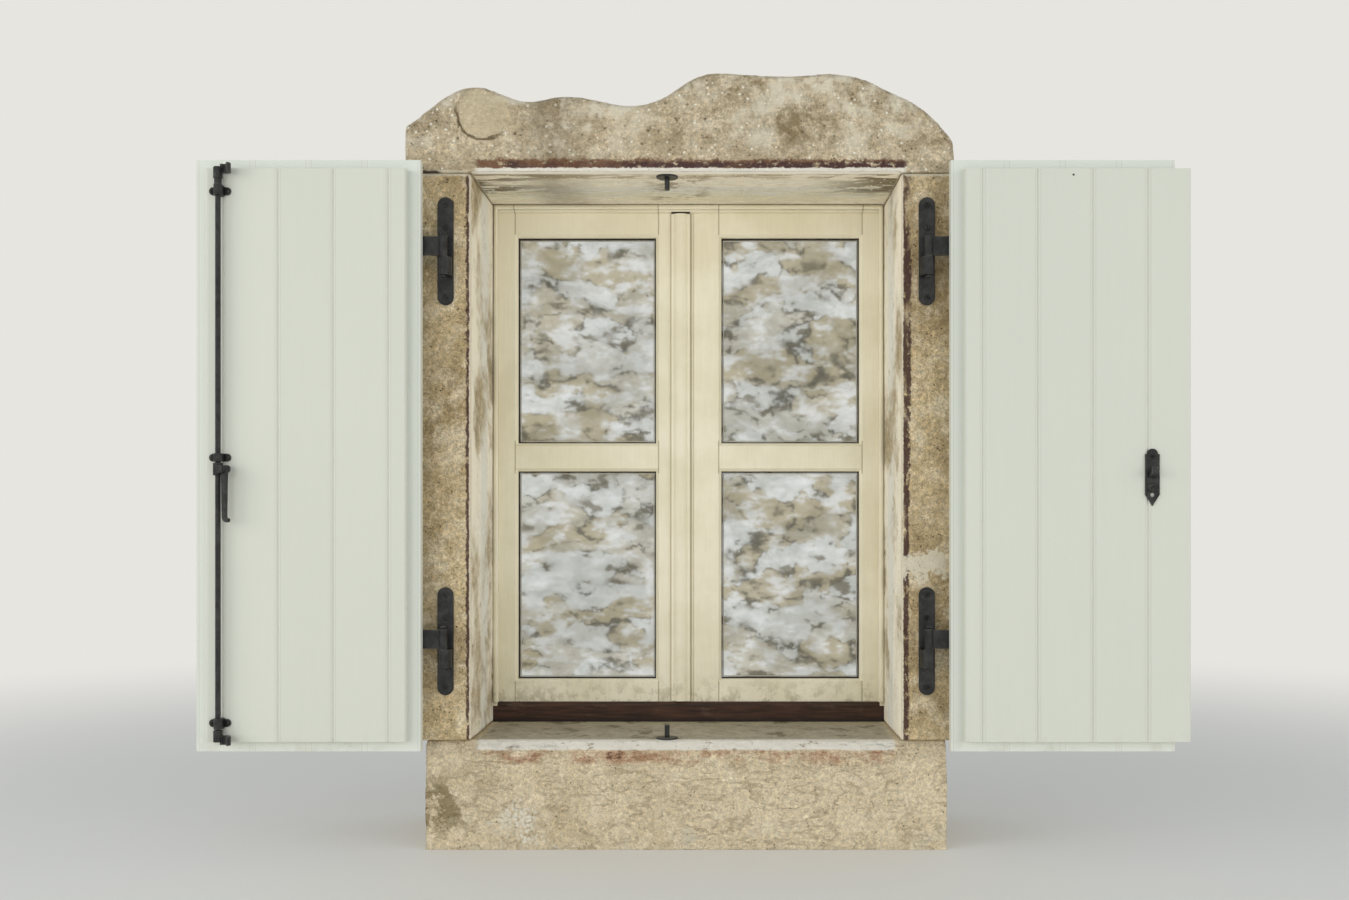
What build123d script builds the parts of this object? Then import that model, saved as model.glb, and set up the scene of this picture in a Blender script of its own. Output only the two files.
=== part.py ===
"""A pair of painted board shutters, open beside a casement window in a dressed-stone surround.

Millimetres, +Z up, +X right, the facade looks towards -Y. The origin is the centre of the
underside of the sill stone. The shutters stand open, flat beside the window, as at rest.
"""
from build123d import *
from math import cos, radians, sin, sqrt
import os

os.makedirs("parts", exist_ok=True)

# Stone surround
OPENING_WIDTH = 832.0
OPENING_HEIGHT = 1102.0
STONE_DEPTH = 330.0
REVEAL_DEPTH = 262.0
CHECK = 30.0
SILL_HEIGHT = 211.0
SILL_BEARING = 92.0
SILL_ARRIS = 14.0
LEFT_JAMB_WIDTH = 116.0
RIGHT_JAMB_WIDTH = 108.0
JAMB_ARRIS = 6.0
LINTEL_LEFT_BEARING = 132.0
LINTEL_RIGHT_BEARING = 109.0
LINTEL_CROWN = 197.0
LINTEL_ARRIS = 9.0
BOULDER_RADIUS = 50.0
BOULDER_RISE = 14.0

# Fixed window frame
FRAME_DEPTH = 56.0
FRAME_STOP = 10.0
FRAME_SHOW = 8.0
HEAD_SHOW = 15.0
THRESHOLD_HEIGHT = 42.0
SASH_CHECK = 8.0
SASH_LAP = 12.0
SASH_PLAY = 2.0
SASH_SEAT = 0.4

# Casements
SASH_THICKNESS = 42.0
MEETING_X = 8.0
MEETING_PLAY = 1.0
MEETING_BEVEL = 3.0
PANE_FAR = 366.0
PANE_NEAR = 70.0
PANE_EDGE = 6.0
TOP_RAIL_DROP = 66.0
BOTTOM_RAIL_RISE = 90.0
MID_RAIL_BASE = 535.0
MID_RAIL_HEIGHT = 60.0
GLASS_THICKNESS = 4.0
GLASS_BITE = 8.0
GLASS_PLAY = 0.2
ASTRAGAL_WIDTH = 40.0
ASTRAGAL_DEPTH = 12.0
ASTRAGAL_END_PLAY = 1.5
FICHE_RADIUS = 4.5
FICHE_HEIGHT = 34.0
FICHE_PLATE = 2.5
FICHE_INSET = 150.0
FICHE_WING = 26.0
FICHE_WING_GAP = 1.0
FICHE_POST_WING = 22.0

# Shutter leaves
AXIS_SETBACK = 50.0
AXIS_STANDOFF = 26.0
EDGE_FROM_AXIS = 38.0
MEETING_GAP = 4.0
STONE_PLAY = 2.0
OUTER_THICKNESS = 22.0
INNER_THICKNESS = 20.0
LAP_BELOW = 12.0
LAP_ABOVE = 10.0
REVEAL_PLAY = 11.0
SILL_PLAY = 9.0
MEETING_REBATE = 25.0
REBATE_PLAY = 5.0
LAP_PLAY = 1.0
FIRST_BOARD = 34.0
LAST_BOARD = 32.0
INNER_BOARDS = 5
OUTER_BOARDS = 4
V_JOINT = 3.0
TONGUE = 6.0
TONGUE_PLAY = 0.3

# Shutter hinges
PLATE_WIDTH = 31.0
PLATE_HEIGHT = 209.0
PLATE_THICKNESS = 5.0
PLATE_SCREW_END = 15.0
PLATE_SCREW_THIRD = 59.0
HINGE_SPLIT_DROP = 14.5
UPPER_PLATE_DROP = 153.5
LOWER_PLATE_RISE = 193.5
BARREL_RADIUS = 8.0
PIN_RADIUS = 4.0
PIN_HEAD = 5.5
PIN_HEAD_HEIGHT = 6.0
RUNNING_FIT = 0.08
KNUCKLE_GAP = 0.4
WALL_KNUCKLE = 35.0
LEAF_KNUCKLE = 40.0
STRAP_HEIGHT = 36.0
STRAP_TIP_HEIGHT = 24.0
STRAP_THICKNESS = 4.5
STRAP_LENGTH = 330.0
STRAP_SCREW_FIRST = 64.0
STRAP_SCREW_PITCH = 78.0

# Screws
SCREW_HEAD = 5.5
SCREW_HEAD_HEIGHT = 2.6
SCREW_SHANK = 2.5
SCREW_PLAY = 0.05
WALL_SCREW_LENGTH = 45.0
STRAP_SCREW_LENGTH = 40.0
GUIDE_SCREW_LENGTH = 22.0
GUIDE_SCREW_HEAD = 3.6

# Espagnolette bolt
ROD_RADIUS = 5.0
ROD_FROM_EDGE = 53.0
ROD_STANDOFF = 13.0
REST_TURN = 30.0
STUD_REACH = 17.0
STUD_RADIUS = 5.0
STUD_LENGTH = 27.0
STUD_FOOT_RADIUS = 21.5
STUD_FOOT = 3.0
HOOK_HUB_RADIUS = 8.5
HOOK_HUB_HEIGHT = 22.0
HOOK_HEAD_PLAY = 12.0
HOOK_SILL_PLAY = 11.0
CLAW_PLAY = 1.2
CLAW_THICKNESS = 5.8
CLAW_HEIGHT = 17.0
CLAW_RISE = 5.0
CLAW_CURL = 15.0
GUIDE_WIDTH = 41.0
GUIDE_HEIGHT = 15.0
GUIDE_THICKNESS = 3.0
GUIDE_WALL = 3.0
GUIDE_BOSS_HEIGHT = 20.0
GUIDE_SCREW_SPREAD = 14.5
TOP_GUIDE_DROP = 55.0
BOTTOM_GUIDE_RISE = 45.0
HANDLE_RISE = 523.0
HANDLE_HUB_RADIUS = 9.0
HANDLE_HUB_HEIGHT = 24.0
HANDLE_GUIDE_GAP = 2.5
PIVOT_REACH = 18.0
PIVOT_PIN_RADIUS = 2.5
CHEEK_THICKNESS = 4.0
CHEEK_PLAY = 0.3
LEVER_THICKNESS = 8.0
LEVER_HUB_RADIUS = 7.0
LEVER_ROOT = 6.2
LEVER_NECK = 4.2
LEVER_STRAIGHT = 88.0
LEVER_CURL = 8.0

# Keeper on the other leaf
KEEPER_FROM_EDGE = 50.0
KEEPER_WIDTH = 27.0
KEEPER_THICKNESS = 3.0
KEEPER_ABOVE = 39.0
KEEPER_BELOW = 69.0
KEEPER_SEAT_PLAY = 0.5
CRADLE_WIDTH = 14.0
CRADLE_WALL = 4.0
CRADLE_FLOOR = 7.0
CRADLE_LIP = 9.0
CRADLE_PLAY = 1.5
KEEPER_BOSS_RADIUS = 10.0
KEEPER_BOSS_DROP = 35.0
KEEPER_BOSS_RISE = 4.0
KEEPER_EYE_RADIUS = 4.0
KEEPER_EYE_DROP = 48.0
KEEPER_SCREW_RISE = 24.0

# Places worked out from the sizes above
FACE_Y = -STONE_DEPTH / 2
HALF_OPENING = OPENING_WIDTH / 2
HEAD_Z = SILL_HEIGHT + OPENING_HEIGHT
AXIS_X = HALF_OPENING + AXIS_SETBACK
AXIS_Y = FACE_Y - AXIS_STANDOFF
REBATE_Y = FACE_Y - 2 * AXIS_STANDOFF + STONE_PLAY
WEATHER_Y = REBATE_Y + OUTER_THICKNESS
ROOM_Y = REBATE_Y - INNER_THICKNESS
LEAF_EDGE_X = AXIS_X + EDGE_FROM_AXIS
LEAF_FREE_X = 2 * AXIS_X - MEETING_GAP / 2
LEAF_BASE_Z = SILL_HEIGHT - LAP_BELOW
LEAF_TOP_Z = HEAD_Z + LAP_ABOVE
INNER_BASE_Z = SILL_HEIGHT + SILL_PLAY
INNER_TOP_Z = HEAD_Z - REVEAL_PLAY
INNER_EDGE_X = 2 * AXIS_X - HALF_OPENING + REVEAL_PLAY
LEFT_INNER_FREE_X = LEAF_FREE_X - MEETING_REBATE
RIGHT_INNER_FREE_X = LEAF_FREE_X + MEETING_GAP + MEETING_REBATE - REBATE_PLAY
ROD_X = LEAF_FREE_X - ROD_FROM_EDGE
ROD_Y = ROOM_Y - ROD_STANDOFF
STUD_X = ROD_X - 2 * AXIS_X + STUD_REACH
STUD_Y = 2 * AXIS_Y - ROD_Y
HANDLE_Z = SILL_HEIGHT + HANDLE_RISE
FRAME_Y = FACE_Y + REVEAL_DEPTH
STOP_Y = FRAME_Y + FRAME_STOP
SASH_Y = STOP_Y + SASH_SEAT
SASH_BACK_Y = SASH_Y + SASH_THICKNESS
FRAME_BACK_Y = FRAME_Y + FRAME_DEPTH
SASH_EDGE_X = HALF_OPENING - FRAME_SHOW + SASH_LAP
THRESHOLD_Z = SILL_HEIGHT + THRESHOLD_HEIGHT
SASH_BASE_Z = THRESHOLD_Z - SASH_CHECK + SASH_PLAY
SASH_TOP_Z = HEAD_Z - HEAD_SHOW + SASH_CHECK + SASH_PLAY
FICHE_Y = FRAME_BACK_Y + FICHE_RADIUS + 1
BOARD_COVER = (LEFT_INNER_FREE_X - LAST_BOARD - INNER_EDGE_X - FIRST_BOARD) / (INNER_BOARDS - 2)
HINGE_SPLIT = PLATE_HEIGHT / 2 - HINGE_SPLIT_DROP
HINGE_BASES = {
    "upper": HEAD_Z - UPPER_PLATE_DROP - PLATE_HEIGHT / 2,
    "lower": SILL_HEIGHT + LOWER_PLATE_RISE - PLATE_HEIGHT / 2,
}


def slab(x0, x1, y0, y1, z0, z1):
    """A squared block between two corners."""
    middle = Pos((x0 + x1) / 2, (y0 + y1) / 2, (z0 + z1) / 2)
    return middle * Box(abs(x1 - x0), abs(y1 - y0), abs(z1 - z0))


def upright(x, y, z0, z1, radius):
    """A round bar standing between two heights."""
    return Pos(x, y, (z0 + z1) / 2) * Cylinder(radius, z1 - z0)


def plan(points, z0, z1):
    """An outline seen from above, drawn up between two heights."""
    face = make_face(Polyline(*points, close=True))
    return extrude(Pos(0, 0, z0) * face, amount=z1 - z0, dir=(0, 0, 1))


def elevation(edges, y0, y1):
    """A closed outline seen from the front, in x and z, drawn back between two depths."""
    face = Pos(0, y0, 0) * (Plane.XZ * make_face(edges))
    return extrude(face, amount=y1 - y0, dir=(0, 1, 0))


def section(points, x0, x1):
    """An outline seen from the side, in y and z, drawn across between two places."""
    face = Pos(x0, 0, 0) * (Plane.YZ * make_face(Polyline(*points, close=True)))
    return extrude(face, amount=x1 - x0, dir=(1, 0, 0))


def to_left(shape):
    """The same piece on the other side of the window."""
    return mirror(shape, about=Plane.YZ)


def save(shape, name):
    """Write one piece."""
    export_step(shape, "parts/" + name + ".step")


def save_group(shapes, name):
    """Write like pieces together, each a solid of its own."""
    save(Compound(children=[solid for shape in shapes for solid in shape.solids()]), name)


def screw(place, towards, length, head=SCREW_HEAD, shank=SCREW_SHANK):
    """A slotted round-head wood screw: its head stands on the place, its shank goes in."""
    dome = Pos(0, 0, SCREW_HEAD_HEIGHT / 2) * Cylinder(head, SCREW_HEAD_HEIGHT)
    rim = dome.edges().sort_by(Axis.Z)[-1]
    dome = fillet(rim, SCREW_HEAD_HEIGHT * 0.6)
    dome -= Pos(0, 0, SCREW_HEAD_HEIGHT) * Box(3 * head, head / 5, SCREW_HEAD_HEIGHT)
    stem = Pos(0, 0, -length / 2) * Cylinder(shank, length)
    return Plane(origin=place, z_dir=towards).location * (dome + stem)


def screw_hole(place, towards, length, shank=SCREW_SHANK):
    """The hole that a screw's shank sits in."""
    bore = Pos(0, 0, -length / 2) * Cylinder(shank + SCREW_PLAY, length + 1)
    return Plane(origin=place, z_dir=towards).location * bore


# Places of the hinge screws, on the right-hand side
PLATE_SCREW_PLACES = []
STRAP_SCREW_PLACES = []
for base in HINGE_BASES.values():
    for rise in (PLATE_SCREW_END, PLATE_HEIGHT - PLATE_SCREW_THIRD, PLATE_HEIGHT - PLATE_SCREW_END):
        PLATE_SCREW_PLACES.append((AXIS_X, FACE_Y - PLATE_THICKNESS, base + rise))
    for number in range(4):
        reach = AXIS_X + STRAP_SCREW_FIRST + number * STRAP_SCREW_PITCH
        height = base + HINGE_SPLIT + LEAF_KNUCKLE / 2
        STRAP_SCREW_PLACES.append((reach, WEATHER_Y + STRAP_THICKNESS, height))


def lintel():
    """A long block with a rough rounded back edge and one boulder-like swelling."""
    left = -HALF_OPENING - LINTEL_LEFT_BEARING
    right = HALF_OPENING + LINTEL_RIGHT_BEARING
    along = [0, 0.065, 0.105, 0.137, 0.178, 0.218, 0.26, 0.33, 0.383, 0.43, 0.475,
             0.534, 0.583, 0.7, 0.828, 0.875, 0.94, 0.968, 0.995]
    height = [0.47, 0.735, 0.845, 0.858, 0.79, 0.72, 0.757, 0.757, 0.69, 0.69, 0.785,
              0.968, 1, 0.975, 0.95, 0.837, 0.64, 0.5, 0.31]
    crest = [(left + (right - left) * a, HEAD_Z + LINTEL_CROWN * h) for a, h in zip(along, height)]
    top = Spline(*crest)
    sides = Polyline(crest[-1], (right, HEAD_Z), (left, HEAD_Z), crest[0])
    stone = elevation(top.edges() + sides.edges(), FACE_Y, FACE_Y + STONE_DEPTH)
    front = stone.edges().filter_by_position(Axis.Y, FACE_Y - 0.1, FACE_Y + 0.1)
    stone = chamfer(front.filter_by_position(Axis.Z, HEAD_Z + 0.1, HEAD_Z + 2 * LINTEL_CROWN), LINTEL_ARRIS)
    sphere = (BOULDER_RADIUS ** 2 + BOULDER_RISE ** 2) / (2 * BOULDER_RISE)
    centre = (left + (right - left) * 0.137, FACE_Y - BOULDER_RISE + sphere,
              HEAD_Z + LINTEL_CROWN * 0.78 - BOULDER_RADIUS)
    swelling = Pos(*centre) * Sphere(sphere)
    reach = 2 * BOULDER_RADIUS
    swelling &= slab(centre[0] - reach, centre[0] + reach, FACE_Y - reach, FACE_Y + 2,
                     centre[2] - reach, centre[2] + reach)
    stone += swelling
    return stone - slab(-HALF_OPENING - CHECK, HALF_OPENING + CHECK, FRAME_Y,
                        FACE_Y + STONE_DEPTH + 1, HEAD_Z - 1, HEAD_Z + CHECK)


def jamb(width):
    """One upright of the surround, checked at the back for the window frame."""
    edge = HALF_OPENING
    outline = [(edge, FACE_Y), (edge + width, FACE_Y), (edge + width, FACE_Y + STONE_DEPTH),
               (edge + CHECK, FACE_Y + STONE_DEPTH), (edge + CHECK, FRAME_Y), (edge, FRAME_Y)]
    stone = plan(outline, SILL_HEIGHT, HEAD_Z)
    upright_edges = stone.edges().filter_by(Axis.Z)
    arris = upright_edges.filter_by_position(Axis.Y, FACE_Y - 0.1, FACE_Y + 0.1)
    stone = fillet(arris, JAMB_ARRIS)
    for place in PLATE_SCREW_PLACES:
        stone -= screw_hole(place, (0, -1, 0), WALL_SCREW_LENGTH)
    return stone


def sill():
    """The stone under the window, its front arris worn round."""
    reach = HALF_OPENING + SILL_BEARING
    stone = slab(-reach, reach, FACE_Y, FACE_Y + STONE_DEPTH, 0, SILL_HEIGHT)
    front = stone.edges().filter_by(Axis.X).filter_by_position(Axis.Y, FACE_Y - 0.1, FACE_Y + 0.1)
    return fillet(front.sort_by(Axis.Z)[-1], SILL_ARRIS)


def threshold():
    """The dark bottom member, with an upstand that the sashes close against."""
    reach = HALF_OPENING + CHECK
    outline = [(FRAME_Y, SILL_HEIGHT), (FRAME_Y, THRESHOLD_Z - 8), (FRAME_Y + 5, THRESHOLD_Z),
               (STOP_Y, THRESHOLD_Z), (STOP_Y, THRESHOLD_Z - SASH_CHECK),
               (FRAME_BACK_Y, THRESHOLD_Z - SASH_CHECK), (FRAME_BACK_Y, SILL_HEIGHT)]
    return section(outline, -reach, reach)


def window_frame():
    """Head and two posts of one section, rebated on the room side for the sashes."""
    reach = HALF_OPENING + CHECK
    show = HALF_OPENING - FRAME_SHOW
    head = HEAD_Z - HEAD_SHOW
    frame = slab(-reach, reach, FRAME_Y, FRAME_BACK_Y, SILL_HEIGHT, HEAD_Z + CHECK)
    frame -= slab(-show, show, FRAME_Y - 1, FRAME_BACK_Y + 1, SILL_HEIGHT - 1, head)
    frame -= slab(-SASH_EDGE_X - SASH_PLAY, SASH_EDGE_X + SASH_PLAY, STOP_Y, FRAME_BACK_Y + 1,
                  SILL_HEIGHT - 1, SASH_TOP_Z + SASH_PLAY)
    return frame - threshold()


def pane_heights():
    """The two glazed heights of a sash, one over the other."""
    mid_base = SILL_HEIGHT + MID_RAIL_BASE
    return [(SILL_HEIGHT + BOTTOM_RAIL_RISE, mid_base),
            (mid_base + MID_RAIL_HEIGHT, HEAD_Z - TOP_RAIL_DROP)]


def sash(side):
    """One casement: two stiles and three rails, moulded round the glass on the street side."""
    meeting = MEETING_X + side * MEETING_PLAY / 2
    bevel = meeting + side * MEETING_BEVEL
    edge = side * SASH_EDGE_X
    near, far = side * PANE_NEAR, side * PANE_FAR
    outline = [(edge, SASH_Y), (bevel, SASH_Y), (meeting, SASH_Y + SASH_THICKNESS * 0.8),
               (meeting, SASH_BACK_Y), (edge, SASH_BACK_Y)]
    leaf = plan(outline, SASH_BASE_Z, SASH_TOP_Z)
    for low, high in pane_heights():
        leaf -= slab(near, far, SASH_Y - 1, SASH_BACK_Y + 1, low, high)
        middle = SASH_Y + SASH_THICKNESS / 2
        groove = GLASS_THICKNESS / 2 + GLASS_PLAY
        leaf -= slab(near - side * GLASS_BITE, far + side * GLASS_BITE, middle - groove,
                     middle + groove, low - GLASS_BITE, high + GLASS_BITE)
    front = leaf.edges().filter_by_position(Axis.Y, SASH_Y - 0.1, SASH_Y + 0.1)
    inside = min(near, far) - 1, max(near, far) + 1
    around = front.filter_by_position(Axis.X, *inside).filter_by_position(
        Axis.Z, SASH_BASE_Z + 10, SASH_TOP_Z - 10)
    return chamfer(around, PANE_EDGE)


def panes(side):
    """The two sheets of glass of one sash."""
    near, far = side * PANE_NEAR, side * PANE_FAR
    bite = GLASS_BITE - 1
    middle = SASH_Y + SASH_THICKNESS / 2
    half = GLASS_THICKNESS / 2
    return [slab(near - side * bite, far + side * bite, middle - half, middle + half,
                 low - bite, high + bite) for low, high in pane_heights()]


def astragal():
    """The moulded strip that hides the joint between the sashes, fixed on the left one."""
    right = MEETING_X - MEETING_PLAY / 2 - MEETING_BEVEL - 1.5
    left = right - ASTRAGAL_WIDTH
    front = SASH_Y - ASTRAGAL_DEPTH
    step = ASTRAGAL_DEPTH * 0.45
    fillet_width = ASTRAGAL_WIDTH * 0.14
    outline = Polyline((left + fillet_width, SASH_Y - step), (left, SASH_Y - step), (left, SASH_Y),
                       (right, SASH_Y), (right, SASH_Y - step), (right - fillet_width, SASH_Y - step))
    crown = ThreePointArc((right - fillet_width, SASH_Y - step), ((left + right) / 2, front),
                          (left + fillet_width, SASH_Y - step))
    strip = Pos(0, 0, THRESHOLD_Z + ASTRAGAL_END_PLAY) * make_face(outline.edges() + crown.edges())
    height = HEAD_Z - HEAD_SHOW - THRESHOLD_Z - 2 * ASTRAGAL_END_PLAY
    return extrude(strip, amount=height, dir=(0, 0, 1))


def fiche_heights():
    """The joint lines of the two hinges of a sash."""
    return [SASH_BASE_Z + FICHE_INSET, SASH_TOP_Z - FICHE_INSET]


def frame_knuckle(split):
    """Lower half of a sash hinge on the window frame, with its pin standing up."""
    axis = SASH_EDGE_X
    low = split - FICHE_HEIGHT
    knuckle = upright(axis, FICHE_Y, low, split - KNUCKLE_GAP, FICHE_RADIUS)
    knuckle += slab(axis, axis + FICHE_POST_WING, FRAME_BACK_Y, FRAME_BACK_Y + FICHE_PLATE, low,
                    split - KNUCKLE_GAP)
    return knuckle + upright(axis, FICHE_Y, low, split + FICHE_HEIGHT * 0.8, FICHE_RADIUS * 0.5)


def sash_knuckle(split):
    """Upper half of a sash hinge, screwed to the room side of the stile."""
    axis = SASH_EDGE_X
    high = split + FICHE_HEIGHT
    knuckle = upright(axis, FICHE_Y, split, high, FICHE_RADIUS)
    knuckle += slab(axis - FICHE_WING, axis - FICHE_WING_GAP, SASH_BACK_Y, SASH_BACK_Y + FICHE_PLATE,
                    split, high)
    knuckle += slab(axis - FICHE_RADIUS, axis - FICHE_WING_GAP, SASH_BACK_Y, FICHE_Y, split, high)
    bore = upright(axis, FICHE_Y, split - 1, split + FICHE_HEIGHT * 0.8 + 1,
                   FICHE_RADIUS * 0.5 + RUNNING_FIT)
    return knuckle - bore


def board(x0, x1, back_y, face_y, z0, z1, grooved, tongued):
    """A matched board: V-jointed on its face, tongue away from the hinge, groove towards it."""
    out = 1 if face_y > back_y else -1
    middle = (back_y + face_y) / 2
    third = out * TONGUE / 2
    slot = out * (TONGUE / 2 + TONGUE_PLAY)
    outline = [(x0, back_y), (x1, back_y)]
    if tongued:
        outline += [(x1, middle - third), (x1 + TONGUE, middle - third),
                    (x1 + TONGUE, middle + third), (x1, middle + third)]
    outline += [(x1, face_y - out * V_JOINT), (x1 - V_JOINT, face_y),
                (x0 + V_JOINT, face_y), (x0, face_y - out * V_JOINT)]
    if grooved:
        depth = x0 + TONGUE + TONGUE_PLAY
        outline += [(x0, middle + slot), (depth, middle + slot),
                    (depth, middle - slot), (x0, middle - slot)]
    return plan(outline, z0, z1)


def drilled(piece):
    """A board with the holes of the strap screws that reach it."""
    for place in STRAP_SCREW_PLACES:
        piece -= screw_hole(place, (0, 1, 0), STRAP_SCREW_LENGTH)
    return piece


def inner_layer(free_x):
    """Boards that face the room when shut and the street when open."""
    seams = [INNER_EDGE_X + FIRST_BOARD + BOARD_COVER * n for n in range(INNER_BOARDS - 1)]
    edges = [INNER_EDGE_X] + seams + [free_x]
    layer = []
    for number in range(INNER_BOARDS):
        grooved, tongued = number > 0, number < INNER_BOARDS - 1
        layer.append(drilled(board(edges[number], edges[number + 1], REBATE_Y, ROOM_Y,
                                   INNER_BASE_Z, INNER_TOP_Z, grooved, tongued)))
    return layer


def outer_layer():
    """Weather boards, larger than the inner layer by the rebate that laps the stone."""
    cover = (LEAF_FREE_X - LEAF_EDGE_X) / OUTER_BOARDS
    layer = []
    for number in range(OUTER_BOARDS):
        grooved, tongued = number > 0, number < OUTER_BOARDS - 1
        start = LEAF_EDGE_X + cover * number
        layer.append(drilled(board(start, start + cover, REBATE_Y, WEATHER_Y,
                                   LEAF_BASE_Z, LEAF_TOP_Z, grooved, tongued)))
    return layer


def wall_plate(base):
    """Pill-shaped plate on the stone, with a forged lug that carries the lower knuckle."""
    half = PLATE_WIDTH / 2
    outline = SlotOverall(PLATE_HEIGHT, PLATE_WIDTH, rotation=90)
    face = Pos(AXIS_X, FACE_Y, base + PLATE_HEIGHT / 2) * (Plane.XZ * outline)
    plate = extrude(face, amount=PLATE_THICKNESS, dir=(0, -1, 0))
    rim = plate.edges().filter_by_position(Axis.Y, FACE_Y - PLATE_THICKNESS - 0.1,
                                           FACE_Y - PLATE_THICKNESS + 0.1)
    plate = chamfer(rim, 1.2)
    for place in PLATE_SCREW_PLACES:
        plate -= screw_hole(place, (0, -1, 0), PLATE_THICKNESS)
    top = base + HINGE_SPLIT - KNUCKLE_GAP
    low = base + HINGE_SPLIT - WALL_KNUCKLE
    root = FACE_Y - PLATE_THICKNESS + 0.5
    lug = plan([(AXIS_X - half + 1.5, root), (AXIS_X - half + 1.5, AXIS_Y + 5),
                (AXIS_X - half + 6, AXIS_Y - 4), (AXIS_X - 4, AXIS_Y - 6.5),
                (AXIS_X, AXIS_Y), (AXIS_X - 2, AXIS_Y + 7), (AXIS_X - 5, AXIS_Y + 11),
                (AXIS_X - 5, root)], low, top)
    plate += lug + upright(AXIS_X, AXIS_Y, low, top, BARREL_RADIUS)
    return plate - upright(AXIS_X, AXIS_Y, low - 1, top + 1, PIN_RADIUS)


def hinge_pin(base):
    """The pin through both knuckles, with a button at each end."""
    split = base + HINGE_SPLIT
    low, high = split - WALL_KNUCKLE, split + LEAF_KNUCKLE
    pin = upright(AXIS_X, AXIS_Y, low - 1, high + 1, PIN_RADIUS)
    for start, end in ((low - PIN_HEAD_HEIGHT, low), (high + KNUCKLE_GAP, high + PIN_HEAD_HEIGHT)):
        button = upright(AXIS_X, AXIS_Y, start, end, PIN_HEAD)
        pin += chamfer(button.edges().filter_by(GeomType.CIRCLE), 1.2)
    return pin


def strap(base):
    """Tapered strap on the weather face, rolled into the upper knuckle."""
    split = base + HINGE_SPLIT
    centre = split + LEAF_KNUCKLE / 2
    half, tip = STRAP_HEIGHT / 2, STRAP_TIP_HEIGHT / 2
    end = AXIS_X + STRAP_LENGTH
    outline = Polyline((end - tip, centre + tip), (AXIS_X + EDGE_FROM_AXIS, centre + half),
                       (AXIS_X, centre + half), (AXIS_X, centre - half),
                       (AXIS_X + EDGE_FROM_AXIS, centre - half), (end - tip, centre - tip))
    nose = ThreePointArc((end - tip, centre - tip), (end, centre), (end - tip, centre + tip))
    iron = elevation(outline.edges() + nose.edges(), WEATHER_Y, WEATHER_Y + STRAP_THICKNESS)
    iron += upright(AXIS_X, AXIS_Y, split, split + LEAF_KNUCKLE, BARREL_RADIUS)
    iron -= upright(AXIS_X, AXIS_Y, split - 1, split + LEAF_KNUCKLE + 1, PIN_RADIUS + RUNNING_FIT)
    for place in STRAP_SCREW_PLACES:
        iron -= screw_hole(place, (0, 1, 0), STRAP_THICKNESS)
    return iron


def guide_screw_places(z):
    """The two screws of one rod guide."""
    y = ROOM_Y - GUIDE_THICKNESS
    return [(-ROD_X + side * GUIDE_SCREW_SPREAD, y, z) for side in (-1, 1)]


def rod_guide(z, boss_height):
    """A bridge over the rod on a small round-ended plate."""
    face = Pos(-ROD_X, ROOM_Y, z) * (Plane.XZ * SlotOverall(GUIDE_WIDTH, GUIDE_HEIGHT))
    guide = extrude(face, amount=GUIDE_THICKNESS, dir=(0, -1, 0))
    radius = ROD_RADIUS + GUIDE_WALL
    low, high = z - boss_height / 2, z + boss_height / 2
    bridge = slab(-ROD_X - radius, -ROD_X + radius, ROD_Y, ROOM_Y, low, high)
    bridge += upright(-ROD_X, ROD_Y, low, high, radius)
    guide += bridge
    guide -= upright(-ROD_X, ROD_Y, low - 1, high + 1, ROD_RADIUS + RUNNING_FIT)
    for place in guide_screw_places(z):
        guide -= screw_hole(place, (0, -1, 0), GUIDE_THICKNESS)
    return guide


def on_rod(shape):
    """Turn a piece drawn along the locking direction to where it rests."""
    return Pos(-ROD_X, ROD_Y, 0) * (Rot(0, 0, -REST_TURN) * shape)


def claw_hook(low, claw_low, neck):
    """A hub on the rod with a claw that swings round a striker stud and draws it in."""
    hub = upright(0, 0, low, low + HOOK_HUB_HEIGHT, HOOK_HUB_RADIUS)
    hub = chamfer(hub.edges().filter_by(GeomType.CIRCLE), 1.0)
    inner = STUD_RADIUS + CLAW_PLAY
    outer = inner + CLAW_THICKNESS
    curl = radians(-CLAW_CURL)

    def around(radius, angle):
        return STUD_REACH + radius * cos(angle), radius * sin(angle)

    mouth = ThreePointArc(around(inner, curl), around(inner, radians(90)), around(inner, radians(180)))
    back = ThreePointArc(around(outer, radians(180)), around(outer, radians(90)), around(outer, curl))
    root = Line(around(inner, radians(180)), around(outer, radians(180)))
    lip = Line(around(outer, curl), around(inner, curl))
    face = make_face(mouth.edges() + root.edges() + back.edges() + lip.edges())
    claw = extrude(Pos(0, 0, claw_low) * face, amount=CLAW_HEIGHT, dir=(0, 0, 1))
    hook = hub + claw
    if neck:
        hook += upright(0, 0, neck, low + 1, HOOK_HUB_RADIUS - 1.5)
    return on_rod(hook - upright(0, 0, 0, HEAD_Z, ROD_RADIUS))


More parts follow.
